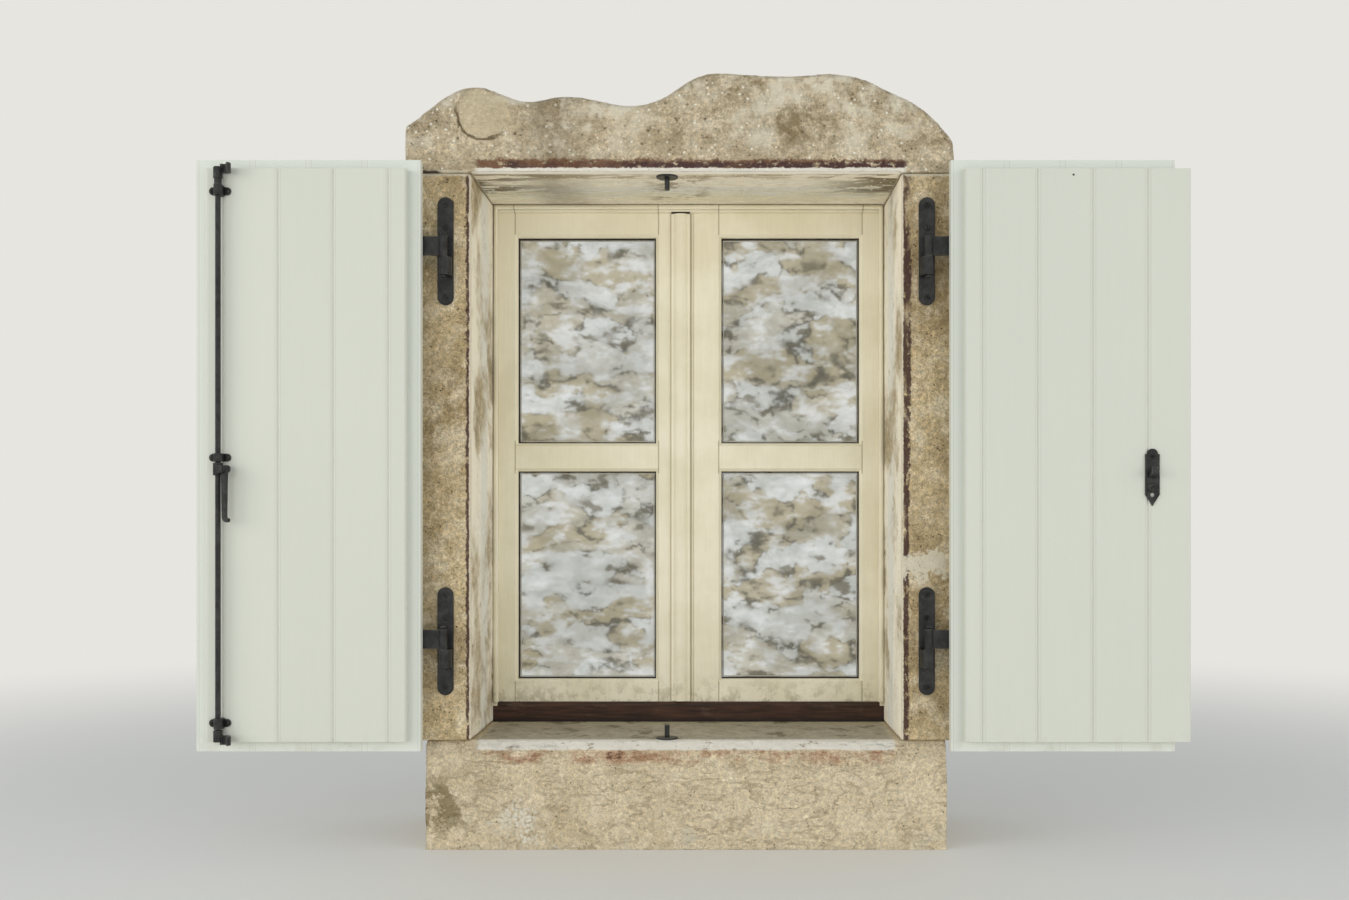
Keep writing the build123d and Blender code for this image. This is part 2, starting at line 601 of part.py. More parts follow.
def handle_socket():
    """The forged block fixed on the rod, forked for the lever."""
    low = HANDLE_Z - HANDLE_HUB_HEIGHT / 2
    hub = upright(0, 0, low, low + HANDLE_HUB_HEIGHT, HANDLE_HUB_RADIUS)
    hub = chamfer(hub.edges().filter_by(GeomType.CIRCLE), 1.5)
    gap = LEVER_THICKNESS / 2 + CHEEK_PLAY
    for side in (-1, 1):
        near, far = side * gap, side * (gap + CHEEK_THICKNESS)
        cheek = slab(2, PIVOT_REACH, near, far, HANDLE_Z - LEVER_HUB_RADIUS,
                     HANDLE_Z + LEVER_HUB_RADIUS)
        nose = Pos(PIVOT_REACH, (near + far) / 2, HANDLE_Z) * (
            Rot(90, 0, 0) * Cylinder(LEVER_HUB_RADIUS, CHEEK_THICKNESS))
        hub += cheek + nose
    hub -= slab(ROD_RADIUS + 3.5, PIVOT_REACH * 2, -gap, gap, low - 1, low + HANDLE_HUB_HEIGHT + 1)
    hub -= Pos(PIVOT_REACH, 0, HANDLE_Z) * (
        Rot(90, 0, 0) * Cylinder(PIVOT_PIN_RADIUS, 4 * HANDLE_HUB_RADIUS))
    return on_rod(hub - upright(0, 0, low - 1, low + HANDLE_HUB_HEIGHT + 1, ROD_RADIUS))


def lever():
    """The hanging handle: a tapered bar whose tip is turned up for the fingers."""
    inner = LEVER_CURL - LEVER_NECK
    outer = LEVER_CURL + LEVER_NECK
    low = HANDLE_Z - LEVER_STRAIGHT
    start, heart = PIVOT_REACH, PIVOT_REACH + LEVER_CURL
    slope = sqrt(0.5)
    tip = heart + LEVER_NECK
    sides = Polyline((start - LEVER_NECK, low), (start - LEVER_ROOT, HANDLE_Z),
                     (start + LEVER_ROOT, HANDLE_Z), (start + LEVER_NECK, low))
    palm = ThreePointArc((start + LEVER_NECK, low), (heart - inner * slope, low - inner * slope),
                         (heart, low - inner))
    nose = ThreePointArc((heart, low - inner), (tip, low - LEVER_CURL), (heart, low - outer))
    back = ThreePointArc((heart, low - outer), (heart - outer * slope, low - outer * slope),
                         (start - LEVER_NECK, low))
    half = LEVER_THICKNESS / 2
    bar = elevation(sides.edges() + palm.edges() + nose.edges() + back.edges(), -half, half)
    bar += Pos(PIVOT_REACH, 0, HANDLE_Z) * (Rot(90, 0, 0) * Cylinder(LEVER_HUB_RADIUS, 2 * half))
    outer_edges = bar.edges().filter_by_position(Axis.Y, half - 0.1, half + 0.1)
    outer_edges += bar.edges().filter_by_position(Axis.Y, -half - 0.1, -half + 0.1)
    bar = fillet(outer_edges, 1.4)
    bar -= Pos(PIVOT_REACH, 0, HANDLE_Z) * (
        Rot(90, 0, 0) * Cylinder(PIVOT_PIN_RADIUS + RUNNING_FIT, 4 * half))
    return on_rod(bar)


def lever_pin():
    """The riveted pin through the fork and the lever."""
    reach = LEVER_THICKNESS / 2 + CHEEK_PLAY + CHEEK_THICKNESS
    pin = Cylinder(PIVOT_PIN_RADIUS, 2 * reach)
    for side in (-1, 1):
        head = Pos(0, 0, side * (reach + 0.8)) * Cylinder(PIVOT_PIN_RADIUS + 1.2, 1.6)
        pin += head
    return on_rod(Pos(PIVOT_REACH, 0, HANDLE_Z) * (Rot(90, 0, 0) * pin))


def striker_stud(z0, z1, foot_z0, foot_z1):
    """A round foot let on to the stone with a stout pin."""
    stud = upright(STUD_X, STUD_Y, z0, z1, STUD_RADIUS)
    foot = upright(STUD_X, STUD_Y, foot_z0, foot_z1, STUD_FOOT_RADIUS)
    return chamfer(foot.edges().filter_by(GeomType.CIRCLE), 0.8) + stud


def keeper():
    """A shaped back plate with an open cradle for the lever."""
    x = LEAF_FREE_X - KEEPER_FROM_EDGE
    half = KEEPER_WIDTH / 2
    top, point = HANDLE_Z + KEEPER_ABOVE, HANDLE_Z - KEEPER_BELOW
    shoulder = top - half * 0.75
    waist = HANDLE_Z - KEEPER_EYE_DROP - KEEPER_EYE_RADIUS - 2
    outline = Polyline((x - half + 3, shoulder), (x - half, shoulder), (x - half, waist + 6),
                       (x - half * 0.7, waist), (x, point), (x + half * 0.7, waist),
                       (x + half, waist + 6), (x + half, shoulder), (x + half - 3, shoulder))
    arch = ThreePointArc((x + half - 3, shoulder), (x, top), (x - half + 3, shoulder))
    front = ROOM_Y - KEEPER_THICKNESS
    plate = elevation(outline.edges() + arch.edges(), front, ROOM_Y)
    seat = HANDLE_Z - LEVER_NECK - KEEPER_SEAT_PLAY
    lever_far = ROD_Y - LEVER_THICKNESS / 2
    lip_in = lever_far - CRADLE_PLAY
    lip_out = lip_in - CRADLE_WALL
    profile = [(front + 0.5, seat), (lip_in, seat), (lip_in, seat + CRADLE_LIP - 1),
               (lip_in - 1, seat + CRADLE_LIP), (lip_out + 1, seat + CRADLE_LIP),
               (lip_out, seat + CRADLE_LIP - 1), (lip_out, seat - CRADLE_FLOOR * 0.4),
               (lip_out + 4, seat - CRADLE_FLOOR), (front + 0.5, seat - CRADLE_FLOOR * 1.6)]
    cradle = section(profile, x - CRADLE_WIDTH / 2, x + CRADLE_WIDTH / 2)
    boss_z = HANDLE_Z - KEEPER_BOSS_DROP
    boss = Pos(x, front - KEEPER_BOSS_RISE / 2, boss_z) * (
        Rot(90, 0, 0) * Cone(KEEPER_BOSS_RADIUS, KEEPER_BOSS_RADIUS * 0.7, KEEPER_BOSS_RISE))
    eye = Pos(x, ROOM_Y, HANDLE_Z - KEEPER_EYE_DROP) * (
        Rot(90, 0, 0) * Cylinder(KEEPER_EYE_RADIUS, 4 * KEEPER_THICKNESS))
    piece = plate + cradle + boss - eye
    for place in keeper_screw_places():
        piece -= screw_hole(place, (0, -1, 0), KEEPER_THICKNESS + KEEPER_BOSS_RISE)
    return piece


def keeper_screw_places():
    """One screw in the head of the plate and one in the boss under the cradle."""
    x = LEAF_FREE_X - KEEPER_FROM_EDGE
    front = ROOM_Y - KEEPER_THICKNESS
    return [(x, front, HANDLE_Z + KEEPER_SCREW_RISE),
            (x, front - KEEPER_BOSS_RISE, HANDLE_Z - KEEPER_BOSS_DROP)]


# Stone surround
save(lintel(), "lintel_stone")
save(to_left(jamb(LEFT_JAMB_WIDTH)), "left_jamb_stone")
save(jamb(RIGHT_JAMB_WIDTH), "right_jamb_stone")
save(sill(), "sill_stone")

# Window
save(window_frame(), "window_frame")
save(threshold(), "threshold")
save(sash(-1), "left_sash")
save(sash(1), "right_sash")
save_group(panes(-1), "left_panes")
save_group(panes(1), "right_panes")
save(astragal(), "astragal")
frame_knuckles = [frame_knuckle(split) for split in fiche_heights()]
sash_knuckles = [sash_knuckle(split) for split in fiche_heights()]
save_group(frame_knuckles + [to_left(piece) for piece in frame_knuckles], "sash_hinge_posts")
save_group([to_left(piece) for piece in sash_knuckles], "left_sash_knuckles")
save_group(sash_knuckles, "right_sash_knuckles")

# Shutter hinges
pins = []
for level, base in HINGE_BASES.items():
    save(wall_plate(base), "right_" + level + "_wall_plate")
    save(to_left(wall_plate(base)), "left_" + level + "_wall_plate")
    save(strap(base), "right_" + level + "_strap")
    save(to_left(strap(base)), "left_" + level + "_strap")
    pins.append(hinge_pin(base))
save_group(pins + [to_left(pin) for pin in pins], "hinge_pins")
wall_screws = [screw(place, (0, -1, 0), WALL_SCREW_LENGTH) for place in PLATE_SCREW_PLACES]
save_group(wall_screws + [to_left(piece) for piece in wall_screws], "wall_plate_screws")
strap_screws = [screw(place, (0, 1, 0), STRAP_SCREW_LENGTH) for place in STRAP_SCREW_PLACES]
save_group(strap_screws, "right_strap_screws")
save_group([to_left(piece) for piece in strap_screws], "left_strap_screws")

# The holes that the guides and the keeper are screwed into, in the inner boards
TOP_GUIDE_Z = HEAD_Z - TOP_GUIDE_DROP
BOTTOM_GUIDE_Z = SILL_HEIGHT + BOTTOM_GUIDE_RISE
MIDDLE_GUIDE_Z = HANDLE_Z + HANDLE_HUB_HEIGHT / 2 + HANDLE_GUIDE_GAP + GUIDE_HEIGHT / 2
GUIDE_BOSSES = {
    "top_rod_guide": (TOP_GUIDE_Z, GUIDE_BOSS_HEIGHT),
    "middle_rod_guide": (MIDDLE_GUIDE_Z, GUIDE_HEIGHT),
    "bottom_rod_guide": (BOTTOM_GUIDE_Z, GUIDE_BOSS_HEIGHT),
}
guide_places = [place for z, height in GUIDE_BOSSES.values() for place in guide_screw_places(z)]

# Left leaf
for number, piece in enumerate(inner_layer(LEFT_INNER_FREE_X), start=1):
    piece = to_left(piece)
    for place in guide_places:
        piece -= screw_hole(place, (0, -1, 0), GUIDE_SCREW_LENGTH)
    save(piece, "left_inner_board_" + str(number))
for number, piece in enumerate(outer_layer(), start=1):
    save(to_left(piece), "left_outer_board_" + str(number))
for name, (z, height) in GUIDE_BOSSES.items():
    save(rod_guide(z, height), name)
save_group([screw(place, (0, -1, 0), GUIDE_SCREW_LENGTH, head=GUIDE_SCREW_HEAD)
            for place in guide_places], "guide_screws")

# Right leaf, its last inner board planed where the other leaf laps over it
for number, piece in enumerate(inner_layer(RIGHT_INNER_FREE_X), start=1):
    for place in keeper_screw_places():
        piece -= screw_hole(place, (0, -1, 0), GUIDE_SCREW_LENGTH + KEEPER_BOSS_RISE)
    piece -= slab(LEAF_FREE_X, RIGHT_INNER_FREE_X + 1, REBATE_Y - LAP_PLAY, REBATE_Y + 1,
                  INNER_BASE_Z - 1, INNER_TOP_Z + 1)
    save(piece, "right_inner_board_" + str(number))
for number, piece in enumerate(outer_layer(), start=1):
    save(piece, "right_outer_board_" + str(number))
save(keeper(), "keeper")
save_group([screw(place, (0, -1, 0), GUIDE_SCREW_LENGTH, head=GUIDE_SCREW_HEAD)
            for place in keeper_screw_places()], "keeper_screws")

# Espagnolette
TOP_HOOK_Z = HEAD_Z - HOOK_HEAD_PLAY - HOOK_HUB_HEIGHT
BOTTOM_HOOK_Z = SILL_HEIGHT + HOOK_SILL_PLAY
rod_top = TOP_HOOK_Z + HOOK_HUB_HEIGHT
rod = upright(-ROD_X, ROD_Y, BOTTOM_HOOK_Z, rod_top, ROD_RADIUS)
save(rod, "rod")
neck_z = TOP_GUIDE_Z + GUIDE_BOSS_HEIGHT / 2 + KNUCKLE_GAP
top_claw = TOP_HOOK_Z + HOOK_HUB_HEIGHT + CLAW_RISE - CLAW_HEIGHT
save(claw_hook(TOP_HOOK_Z, top_claw, neck_z), "top_hook")
save(claw_hook(BOTTOM_HOOK_Z, BOTTOM_HOOK_Z - CLAW_RISE, None), "bottom_hook")
save(handle_socket(), "handle_socket")
save(lever(), "lever")
save(lever_pin(), "lever_pin")
save(striker_stud(HEAD_Z - STUD_LENGTH, HEAD_Z, HEAD_Z - STUD_FOOT, HEAD_Z), "top_stud")
save(striker_stud(SILL_HEIGHT, SILL_HEIGHT + STUD_LENGTH, SILL_HEIGHT, SILL_HEIGHT + STUD_FOOT),
     "bottom_stud")
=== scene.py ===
"""A pair of painted board shutters, open beside a casement window in its stone surround.

Metres, +Z up, the facade looks towards -Y. Every piece stands where its CAD solid stands.
"""
from math import cos, pi, sin

import bmesh
import bpy
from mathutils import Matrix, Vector


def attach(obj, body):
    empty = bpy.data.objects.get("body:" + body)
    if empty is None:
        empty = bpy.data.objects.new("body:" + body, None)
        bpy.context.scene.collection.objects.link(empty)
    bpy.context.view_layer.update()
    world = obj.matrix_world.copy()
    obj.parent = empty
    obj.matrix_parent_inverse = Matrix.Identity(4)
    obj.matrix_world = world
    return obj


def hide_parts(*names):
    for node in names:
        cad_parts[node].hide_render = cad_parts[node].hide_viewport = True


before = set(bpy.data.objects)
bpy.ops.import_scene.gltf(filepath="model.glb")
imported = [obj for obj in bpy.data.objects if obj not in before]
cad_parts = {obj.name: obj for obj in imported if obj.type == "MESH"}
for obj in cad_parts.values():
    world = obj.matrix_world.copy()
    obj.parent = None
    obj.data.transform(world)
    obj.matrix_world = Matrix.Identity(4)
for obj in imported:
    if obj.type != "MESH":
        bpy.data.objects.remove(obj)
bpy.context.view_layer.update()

# Camera: it looks straight at the facade from the height of the lower panes, a little
# to the right of the middle, as the photograph does.
lens = bpy.data.cameras.new("camera")
lens.lens = 35.8
lens.sensor_width = 36
lens.shift_x = -0.0278
lens.shift_y = 0.060
camera = bpy.data.objects.new("camera", lens)
camera.location = (0.050, -2.765, 0.618)
camera.rotation_euler = (pi / 2, 0, 0)
bpy.context.scene.collection.objects.link(camera)
bpy.context.scene.camera = camera
bpy.context.scene.view_settings.view_transform = "Standard"


# Light: an overcast street. Soft lamps in front and from both sides, a pale sky all round, and
# for the glass a blurred stone wall across the street. The floor runs out into the backdrop.
class Signal:
    """One node socket, written in sums like a number."""

    def __init__(self, sheet, socket):
        self.sheet = sheet
        self.socket = socket

    def work(self, operation, first, second=0.0):
        return self.sheet.add("ShaderNodeMath", {"operation": operation}, {0: first, 1: second})

    def __add__(self, other):
        return self.work("ADD", self, other)

    def __radd__(self, other):
        return self.work("ADD", other, self)

    def __sub__(self, other):
        return self.work("SUBTRACT", self, other)

    def __rsub__(self, other):
        return self.work("SUBTRACT", other, self)

    def __mul__(self, other):
        return self.work("MULTIPLY", self, other)

    def __rmul__(self, other):
        return self.work("MULTIPLY", other, self)

    def __truediv__(self, other):
        return self.work("DIVIDE", self, other)

    def __mod__(self, other):
        return self.work("FLOORED_MODULO", self, other)

    def __floordiv__(self, other):
        share = self / other
        return self.work("FLOOR", share)

    def __abs__(self):
        return self.work("ABSOLUTE", self)

    def rise(self, low, high):
        """0 below the first value, 1 above the second, and smooth between them."""
        return self.sheet.add("ShaderNodeMapRange", {"interpolation_type": "SMOOTHSTEP"},
                              {"Value": self, "From Min": low, "From Max": high})

    def fall(self, low, high):
        """1 below the first value and 0 above the second."""
        return 1 - self.rise(low, high)

    def between(self, low, high, soft):
        """1 between two values, with soft edges."""
        return self.rise(low - soft, low + soft) * self.fall(high - soft, high + soft)


class Sheet:
    """A node tree that is filled in by hand."""

    def __init__(self, tree):
        self.tree = tree

    def add(self, kind, settings=None, values=None, outlet=0):
        """One node: its settings first, then the values or links of its sockets."""
        node = self.tree.nodes.new(kind)
        for name, value in (settings or {}).items():
            setattr(node, name, value)
        for key, value in (values or {}).items():
            if isinstance(value, Signal):
                self.tree.links.new(value.socket, node.inputs[key])
            else:
                node.inputs[key].default_value = value
        return Signal(self, node.outputs[outlet])

    def noise(self, place, scale, detail=4.0, roughness=0.55, warp=0.0, outlet=0):
        return self.add("ShaderNodeTexNoise", None, {
            "Vector": place, "Scale": scale, "Detail": detail, "Roughness": roughness,
            "Distortion": warp}, outlet)

    def cells(self, place, scale, outlet="Distance"):
        return self.add("ShaderNodeTexVoronoi", None, {"Vector": place, "Scale": scale}, outlet)

    def stretch(self, place, x, y, z):
        """A place with each axis multiplied, so that a pattern on it is squeezed by as much."""
        return self.add("ShaderNodeVectorMath", {"operation": "MULTIPLY"},
                        {0: place, 1: (x, y, z)})

    def shift(self, place, x, y, z):
        return self.add("ShaderNodeVectorMath", {"operation": "ADD"}, {0: place, 1: (x, y, z)})

    def length(self, place):
        return self.add("ShaderNodeVectorMath", {"operation": "LENGTH"}, {0: place}, "Value")

    def ray(self, kind):
        """1 for one kind of ray and 0 for the others."""
        return self.add("ShaderNodeLightPath", outlet="Is " + kind + " Ray")

    def axes(self, place):
        return [self.add("ShaderNodeSeparateXYZ", None, {0: place}, outlet) for outlet in range(3)]

    def blend(self, first, second, amount, way="MIX"):
        return self.add("ShaderNodeMix", {"data_type": "RGBA", "blend_type": way},
                        {0: amount, 6: first, 7: second}, 2)

    def darken(self, colour, factor):
        """The colour times a grey factor."""
        return self.blend(colour, factor, 1.0, "MULTIPLY")


def srgb(red, green, blue):
    """A colour as the eye reads it off a chart, 0 to 255, for a colour socket."""
    parts = [value / 255 for value in (red, green, blue)]
    return tuple(v / 12.92 if v < 0.04045 else ((v + 0.055) / 1.055) ** 2.4 for v in parts) + (1,)


world = bpy.data.worlds.new("street")
bpy.context.scene.world = world
world.use_nodes = True
sky = Sheet(world.node_tree)
around = sky.add("ShaderNodeTexCoord", outlet="Generated")
ray_seen = sky.ray("Camera")
ray_glossy = sky.ray("Glossy")
ray_through = sky.ray("Transmission")
WALL_STONES = 21.0
BACKDROP = srgb(231, 229, 224)
wobble = sky.noise(around, 30.0, 4, outlet="Color")
courses = sky.stretch(sky.blend(around, wobble, 0.05), 1, 1, 2.9)
joints = sky.add("ShaderNodeTexVoronoi", {"feature": "DISTANCE_TO_EDGE"},
                 {"Vector": courses, "Scale": WALL_STONES})
stones = sky.axes(sky.cells(courses, WALL_STONES, "Color"))[0].rise(0.1, 0.9)
patches = sky.noise(sky.stretch(around, 1, 1, 2.0), 48.0, 4, 0.65)
wall = sky.blend(srgb(190, 178, 148), srgb(224, 226, 226), stones)
wall = sky.blend(wall, srgb(246, 248, 252), patches.rise(0.48, 0.62) * 0.85)
gaps = joints + (patches - 0.5) * 0.45
wall = sky.blend(srgb(66, 60, 44), wall, gaps.rise(-0.035, 0.045))
wall = sky.blend(wall, srgb(104, 94, 68), patches.fall(0.36, 0.43) * 0.85)
wall = sky.darken(wall, 0.78 + 0.44 * sky.noise(sky.stretch(around, 1, 1, 1.8), 130.0, 3, 0.6))
sky_colour = sky.blend(srgb(236, 242, 248), wall, ray_glossy)
sky_colour = sky.blend(sky_colour, BACKDROP, (ray_seen + ray_through).rise(0, 1))
sky_strength = 0.64 + 0.36 * (ray_seen + ray_glossy + ray_through).rise(0, 1)
background = world.node_tree.nodes["Background"]
world.node_tree.links.new(sky_colour.socket, background.inputs["Color"])
world.node_tree.links.new(sky_strength.socket, background.inputs["Strength"])

for label, place, size, power in (
        ("left_front_lamp", (-1.8, -3.4, 1.0), 1.5, 18),
        ("right_front_lamp", (1.8, -3.4, 0.6), 1.5, 14),
        ("left_side_lamp", (-4.9, -2.9, 1.6), 3.0, 92),
        ("right_side_lamp", (4.9, -2.9, 1.2), 3.0, 77)):
    lamp = bpy.data.lights.new(label, "AREA")
    lamp.size = size
    lamp.energy = power
    lamp.color = (1.0, 0.985, 0.955)
    stand = bpy.data.objects.new(label, lamp)
    stand.location = place
    stand.visible_camera = False
    stand.visible_glossy = False
    aim = Vector((0, 0, 0.75)) - stand.location
    stand.rotation_euler = aim.to_track_quat("-Z", "Y").to_euler()
    bpy.context.scene.collection.objects.link(stand)


class Finish(Sheet):
    """A material that is worked out from the place on the object."""

    def __init__(self, name):
        self.material = bpy.data.materials.new(name)
        self.material.use_nodes = True
        super().__init__(self.material.node_tree)
        self.shader = self.material.node_tree.nodes["Principled BSDF"]
        self.place = self.add("ShaderNodeTexCoord", outlet="Object")
        self.x, self.y, self.z = self.axes(self.place)

    def give(self, socket, value):
        """A value or a link for one socket of the shader."""
        if isinstance(value, Signal):
            self.tree.links.new(value.socket, self.shader.inputs[socket])
        else:
            self.shader.inputs[socket].default_value = value

    def emboss(self, height, depth, strength=1.0):
        """Bump, with the depth in metres that a height of 1 stands for."""
        self.give("Normal", self.add("ShaderNodeBump", None, {
            "Strength": strength, "Distance": depth, "Height": height}))


floor_paint = Finish("floor")
floor_paint.give("Base Color", BACKDROP)
floor_paint.give("Roughness", 0.9)
away = floor_paint.length(floor_paint.place)
far = floor_paint.ray("Camera") * away.rise(1.3, 4.5)
bounced = floor_paint.ray("Diffuse") * 0.6
pale = floor_paint.add("ShaderNodeEmission", None, {"Color": BACKDROP, "Strength": 1.0})
matt = Signal(floor_paint, floor_paint.shader.outputs[0])
both = floor_paint.add("ShaderNodeMixShader", None, {0: far + bounced, 1: matt, 2: pale})
floor_output = floor_paint.tree.nodes["Material Output"]
floor_paint.tree.links.new(both.socket, floor_output.inputs["Surface"])
FLOOR_RADIUS, FLOOR_SIDES = 40, 48
floor_rim = []
for n in range(FLOOR_SIDES):
    angle = 2 * pi * n / FLOOR_SIDES
    floor_rim.append((FLOOR_RADIUS * cos(angle), FLOOR_RADIUS * sin(angle), 0))
floor_mesh = bpy.data.meshes.new("floor")
floor_mesh.from_pydata(floor_rim, [], [list(range(FLOOR_SIDES))])
floor_mesh.materials.append(floor_paint.material)
floor = bpy.data.objects.new("floor", floor_mesh)
bpy.context.scene.collection.objects.link(floor)
floor.visible_glossy = False


# Stone surround: four blocks of warm sandstone, dressed by hand. Each is the CAD block, its
# faces worn back by a few millimetres, never out, and left true where something bears on it.
OPENING_HALF = 0.416
HINGE_LINE = 0.466
SILL_BED, LINTEL_BED = 0.211, 1.313


def plain_mesh(piece):
    """Apply what the modifiers make of a piece, and take them off."""
    graph = bpy.context.evaluated_depsgraph_get()
    made = bpy.data.meshes.new_from_object(piece.evaluated_get(graph))
    piece.modifiers.clear()
    piece.data = made
    return piece


def set_input(modifier, name, value):
    """Set one named input of a Geometry Nodes modifier by its identifier."""
    for item in modifier.node_group.interface.items_tree:
        if item.item_type == "SOCKET" and item.in_out == "INPUT" and item.name == name:
            modifier[item.identifier] = value


def shape(piece, tree, values):
    """Put a piece through a Geometry Nodes tree with these inputs, and keep the plain mesh."""
    step = piece.modifiers.new(tree.name, "NODES")
    step.node_group = tree
    for name, value in values.items():
        set_input(step, name, value)
    return plain_mesh(piece)


def new_tree(name, inputs):
    """An empty Geometry Nodes tree with a mesh going in, named inputs, and a mesh coming out."""
    tree = bpy.data.node_groups.new(name, "GeometryNodeTree")
    tree.interface.new_socket("Mesh", in_out="INPUT", socket_type="NodeSocketGeometry")
    for label, kind in inputs.items():
        tree.interface.new_socket(label, in_out="INPUT", socket_type="NodeSocket" + kind)
    tree.interface.new_socket("Mesh", in_out="OUTPUT", socket_type="NodeSocketGeometry")
    sheet = Sheet(tree)
    entry = tree.nodes.new("NodeGroupInput")
    given = {socket.name: Signal(sheet, socket) for socket in entry.outputs if socket.name}
    return sheet, given


def close_tree(sheet, mesh, material):
    """Realize Instances and Set Material, the last two nodes of every tree."""
    real = sheet.add("GeometryNodeRealizeInstances", None, {0: mesh})
    painted = sheet.add("GeometryNodeSetMaterial", None, {"Geometry": real, "Material": material})
    end = sheet.tree.nodes.new("NodeGroupOutput")
    sheet.tree.links.new(painted.socket, end.inputs[0])
    return sheet.tree


def worn_stone_tree():
    """Wear a block back: broad hollows, small dips and a few pits."""
    sheet, given = new_tree("worn stone", {
        "Hollows": "Float", "Dips": "Float", "Pits": "Float", "Seed": "Float",
        "Finish": "Material"})
    place = sheet.add("GeometryNodeInputPosition")
    normal = sheet.add("GeometryNodeInputNormal")
    x, y, z = sheet.axes(place)
    facing = [abs(part) for part in sheet.axes(normal)]
    aside = sheet.add("ShaderNodeCombineXYZ", None, {0: given["Seed"], 2: given["Seed"]})
    moved = sheet.add("ShaderNodeVectorMath", {"operation": "ADD"}, {0: place, 1: aside})
    broad = sheet.noise(moved, 6.0, 2)
    small = sheet.noise(sheet.stretch(moved, 1, 1, 1.5), 34.0, 4, 0.6)
    pits = sheet.cells(moved, 38.0).fall(0.10, 0.30)
    scattered = sheet.noise(moved, 15.0, 2).rise(0.52, 0.62)
    depth = (given["Hollows"] * broad.rise(0.35, 0.75) + given["Dips"] * small.rise(0.2, 0.8)
             + given["Pits"] * pits * scattered)
    plates_middle, plates_from_middle = 0.7815, 0.3775
    plate_half_width, plate_half_height = 0.017, 0.108
    beside = abs(abs(x) - HINGE_LINE).rise(plate_half_width, 0.026)
    beyond = abs(abs(z - plates_middle) - plates_from_middle).rise(plate_half_height, 0.118)
    off_plate = beside + beyond + y.rise(-0.163, -0.155)
    off_frame = (abs(x).rise(0.447, 0.455) + z.rise(1.345, 1.353) + y.fall(0.085, 0.094)
                 + z.fall(0.19, 0.2))
    off_beds = abs(z - LINTEL_BED).rise(0.003, 0.006) * abs(z - SILL_BED).rise(0.003, 0.006)
    off_bed = facing[2].fall(0.75, 0.95) + off_beds
    off_foot = z.rise(0.002, 0.006)
    keep = off_plate.rise(0, 1) * off_frame.rise(0, 1) * off_bed.rise(0, 1) * off_foot
    inward = sheet.add("ShaderNodeVectorMath", {"operation": "SCALE"},
                       {0: normal, 3: 0 - depth * keep})
    worn = sheet.add("GeometryNodeSetPosition", None,
                     {"Geometry": given["Mesh"], "Offset": inward})
    smooth = sheet.add("GeometryNodeSetShadeSmooth", None, {0: worn})
    return close_tree(sheet, smooth, given["Finish"])


worn_stone = worn_stone_tree()


def carve(node, finish, hollows, dips, pits, seed):
    """The worn block that stands for one CAD stone."""
    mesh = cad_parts[node].data.copy()
    joined = bmesh.new()
    joined.from_mesh(mesh)
    bmesh.ops.remove_doubles(joined, verts=joined.verts, dist=1e-5)
    joined.to_mesh(mesh)
    joined.free()
    block = bpy.data.objects.new(node.replace("_stone", "_block"), mesh)
    bpy.context.scene.collection.objects.link(block)
    remesh = block.modifiers.new("Remesh", "REMESH")
    remesh.mode = "VOXEL"
    remesh.voxel_size = 0.0055
    shape(block, worn_stone, {"Hollows": hollows, "Dips": dips, "Pits": pits, "Seed": seed,
                              "Finish": finish.material})
    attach(block, "surround")
    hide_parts(node)


class Sandstone(Finish):
    """Grainy stone: patches, mottling, crumbs and holes, and wavy scarps where it split."""

    def __init__(self, name, body, shade, glow, scarps, grit):
        super().__init__(name)
        patches = self.noise(self.place, 5.0, 5, 0.6)
        mottle = self.noise(self.place, 26.0, 8, 0.72, 0.4)
        coarse = self.noise(self.place, 130.0, 5, 0.75).rise(0.34, 0.66)
        grain = self.noise(self.place, 340.0, 3, 0.7).rise(0.34, 0.66)
        colour = self.blend(shade, body, patches.rise(0.30, 0.62))
        colour = self.blend(colour, glow, mottle.rise(0.44, 0.66) * 0.7)
        dark = 0.46 - 0.34 * coarse - 0.28 * grain - 0.26 * mottle
        colour = self.darken(colour, 1 - dark * grit)
        crumbs = self.cells(self.place, 135.0).fall(0.10, 0.22) * mottle.rise(0.44, 0.58)
        colour = self.blend(colour, srgb(250, 240, 216), crumbs * 0.8)
        holes = self.cells(self.shift(self.place, 0.3, 0.7, 0.1), 110.0).fall(0.10, 0.22)
        holes = holes * mottle.fall(0.42, 0.50)
        colour = self.blend(colour, srgb(84, 68, 46), holes * 0.7 * grit)
        waves = self.noise(self.stretch(self.place, 1, 1, 2.6), 5.5, 4, 0.55, 0.2)
        step = (waves * 9.0) % 1.0
        short = self.noise(self.place, 12.0, 4, 0.6).rise(0.42, 0.52)
        shade_under = step.rise(0.66, 1.0) * short * scarps
        self.colour = self.blend(colour, srgb(146, 124, 90), shade_under * 0.45)
        self.height = (mottle * 0.9 + coarse * 0.32 + grain * 0.20 - holes * 0.5 * grit
                       + crumbs * 0.25 + step.rise(0.0, 0.95) * short * scarps * 1.5)

    def lay(self, colour, mask):
        """A coloured layer over what is there: a stain, lime or old paint."""
        self.colour = self.blend(self.colour, colour, mask)

    def close(self, depth=0.005):
        self.give("Base Color", self.colour)
        self.give("Roughness", 0.92)
        self.give("Specular IOR Level", 0.25)
        self.emboss(self.height, depth)


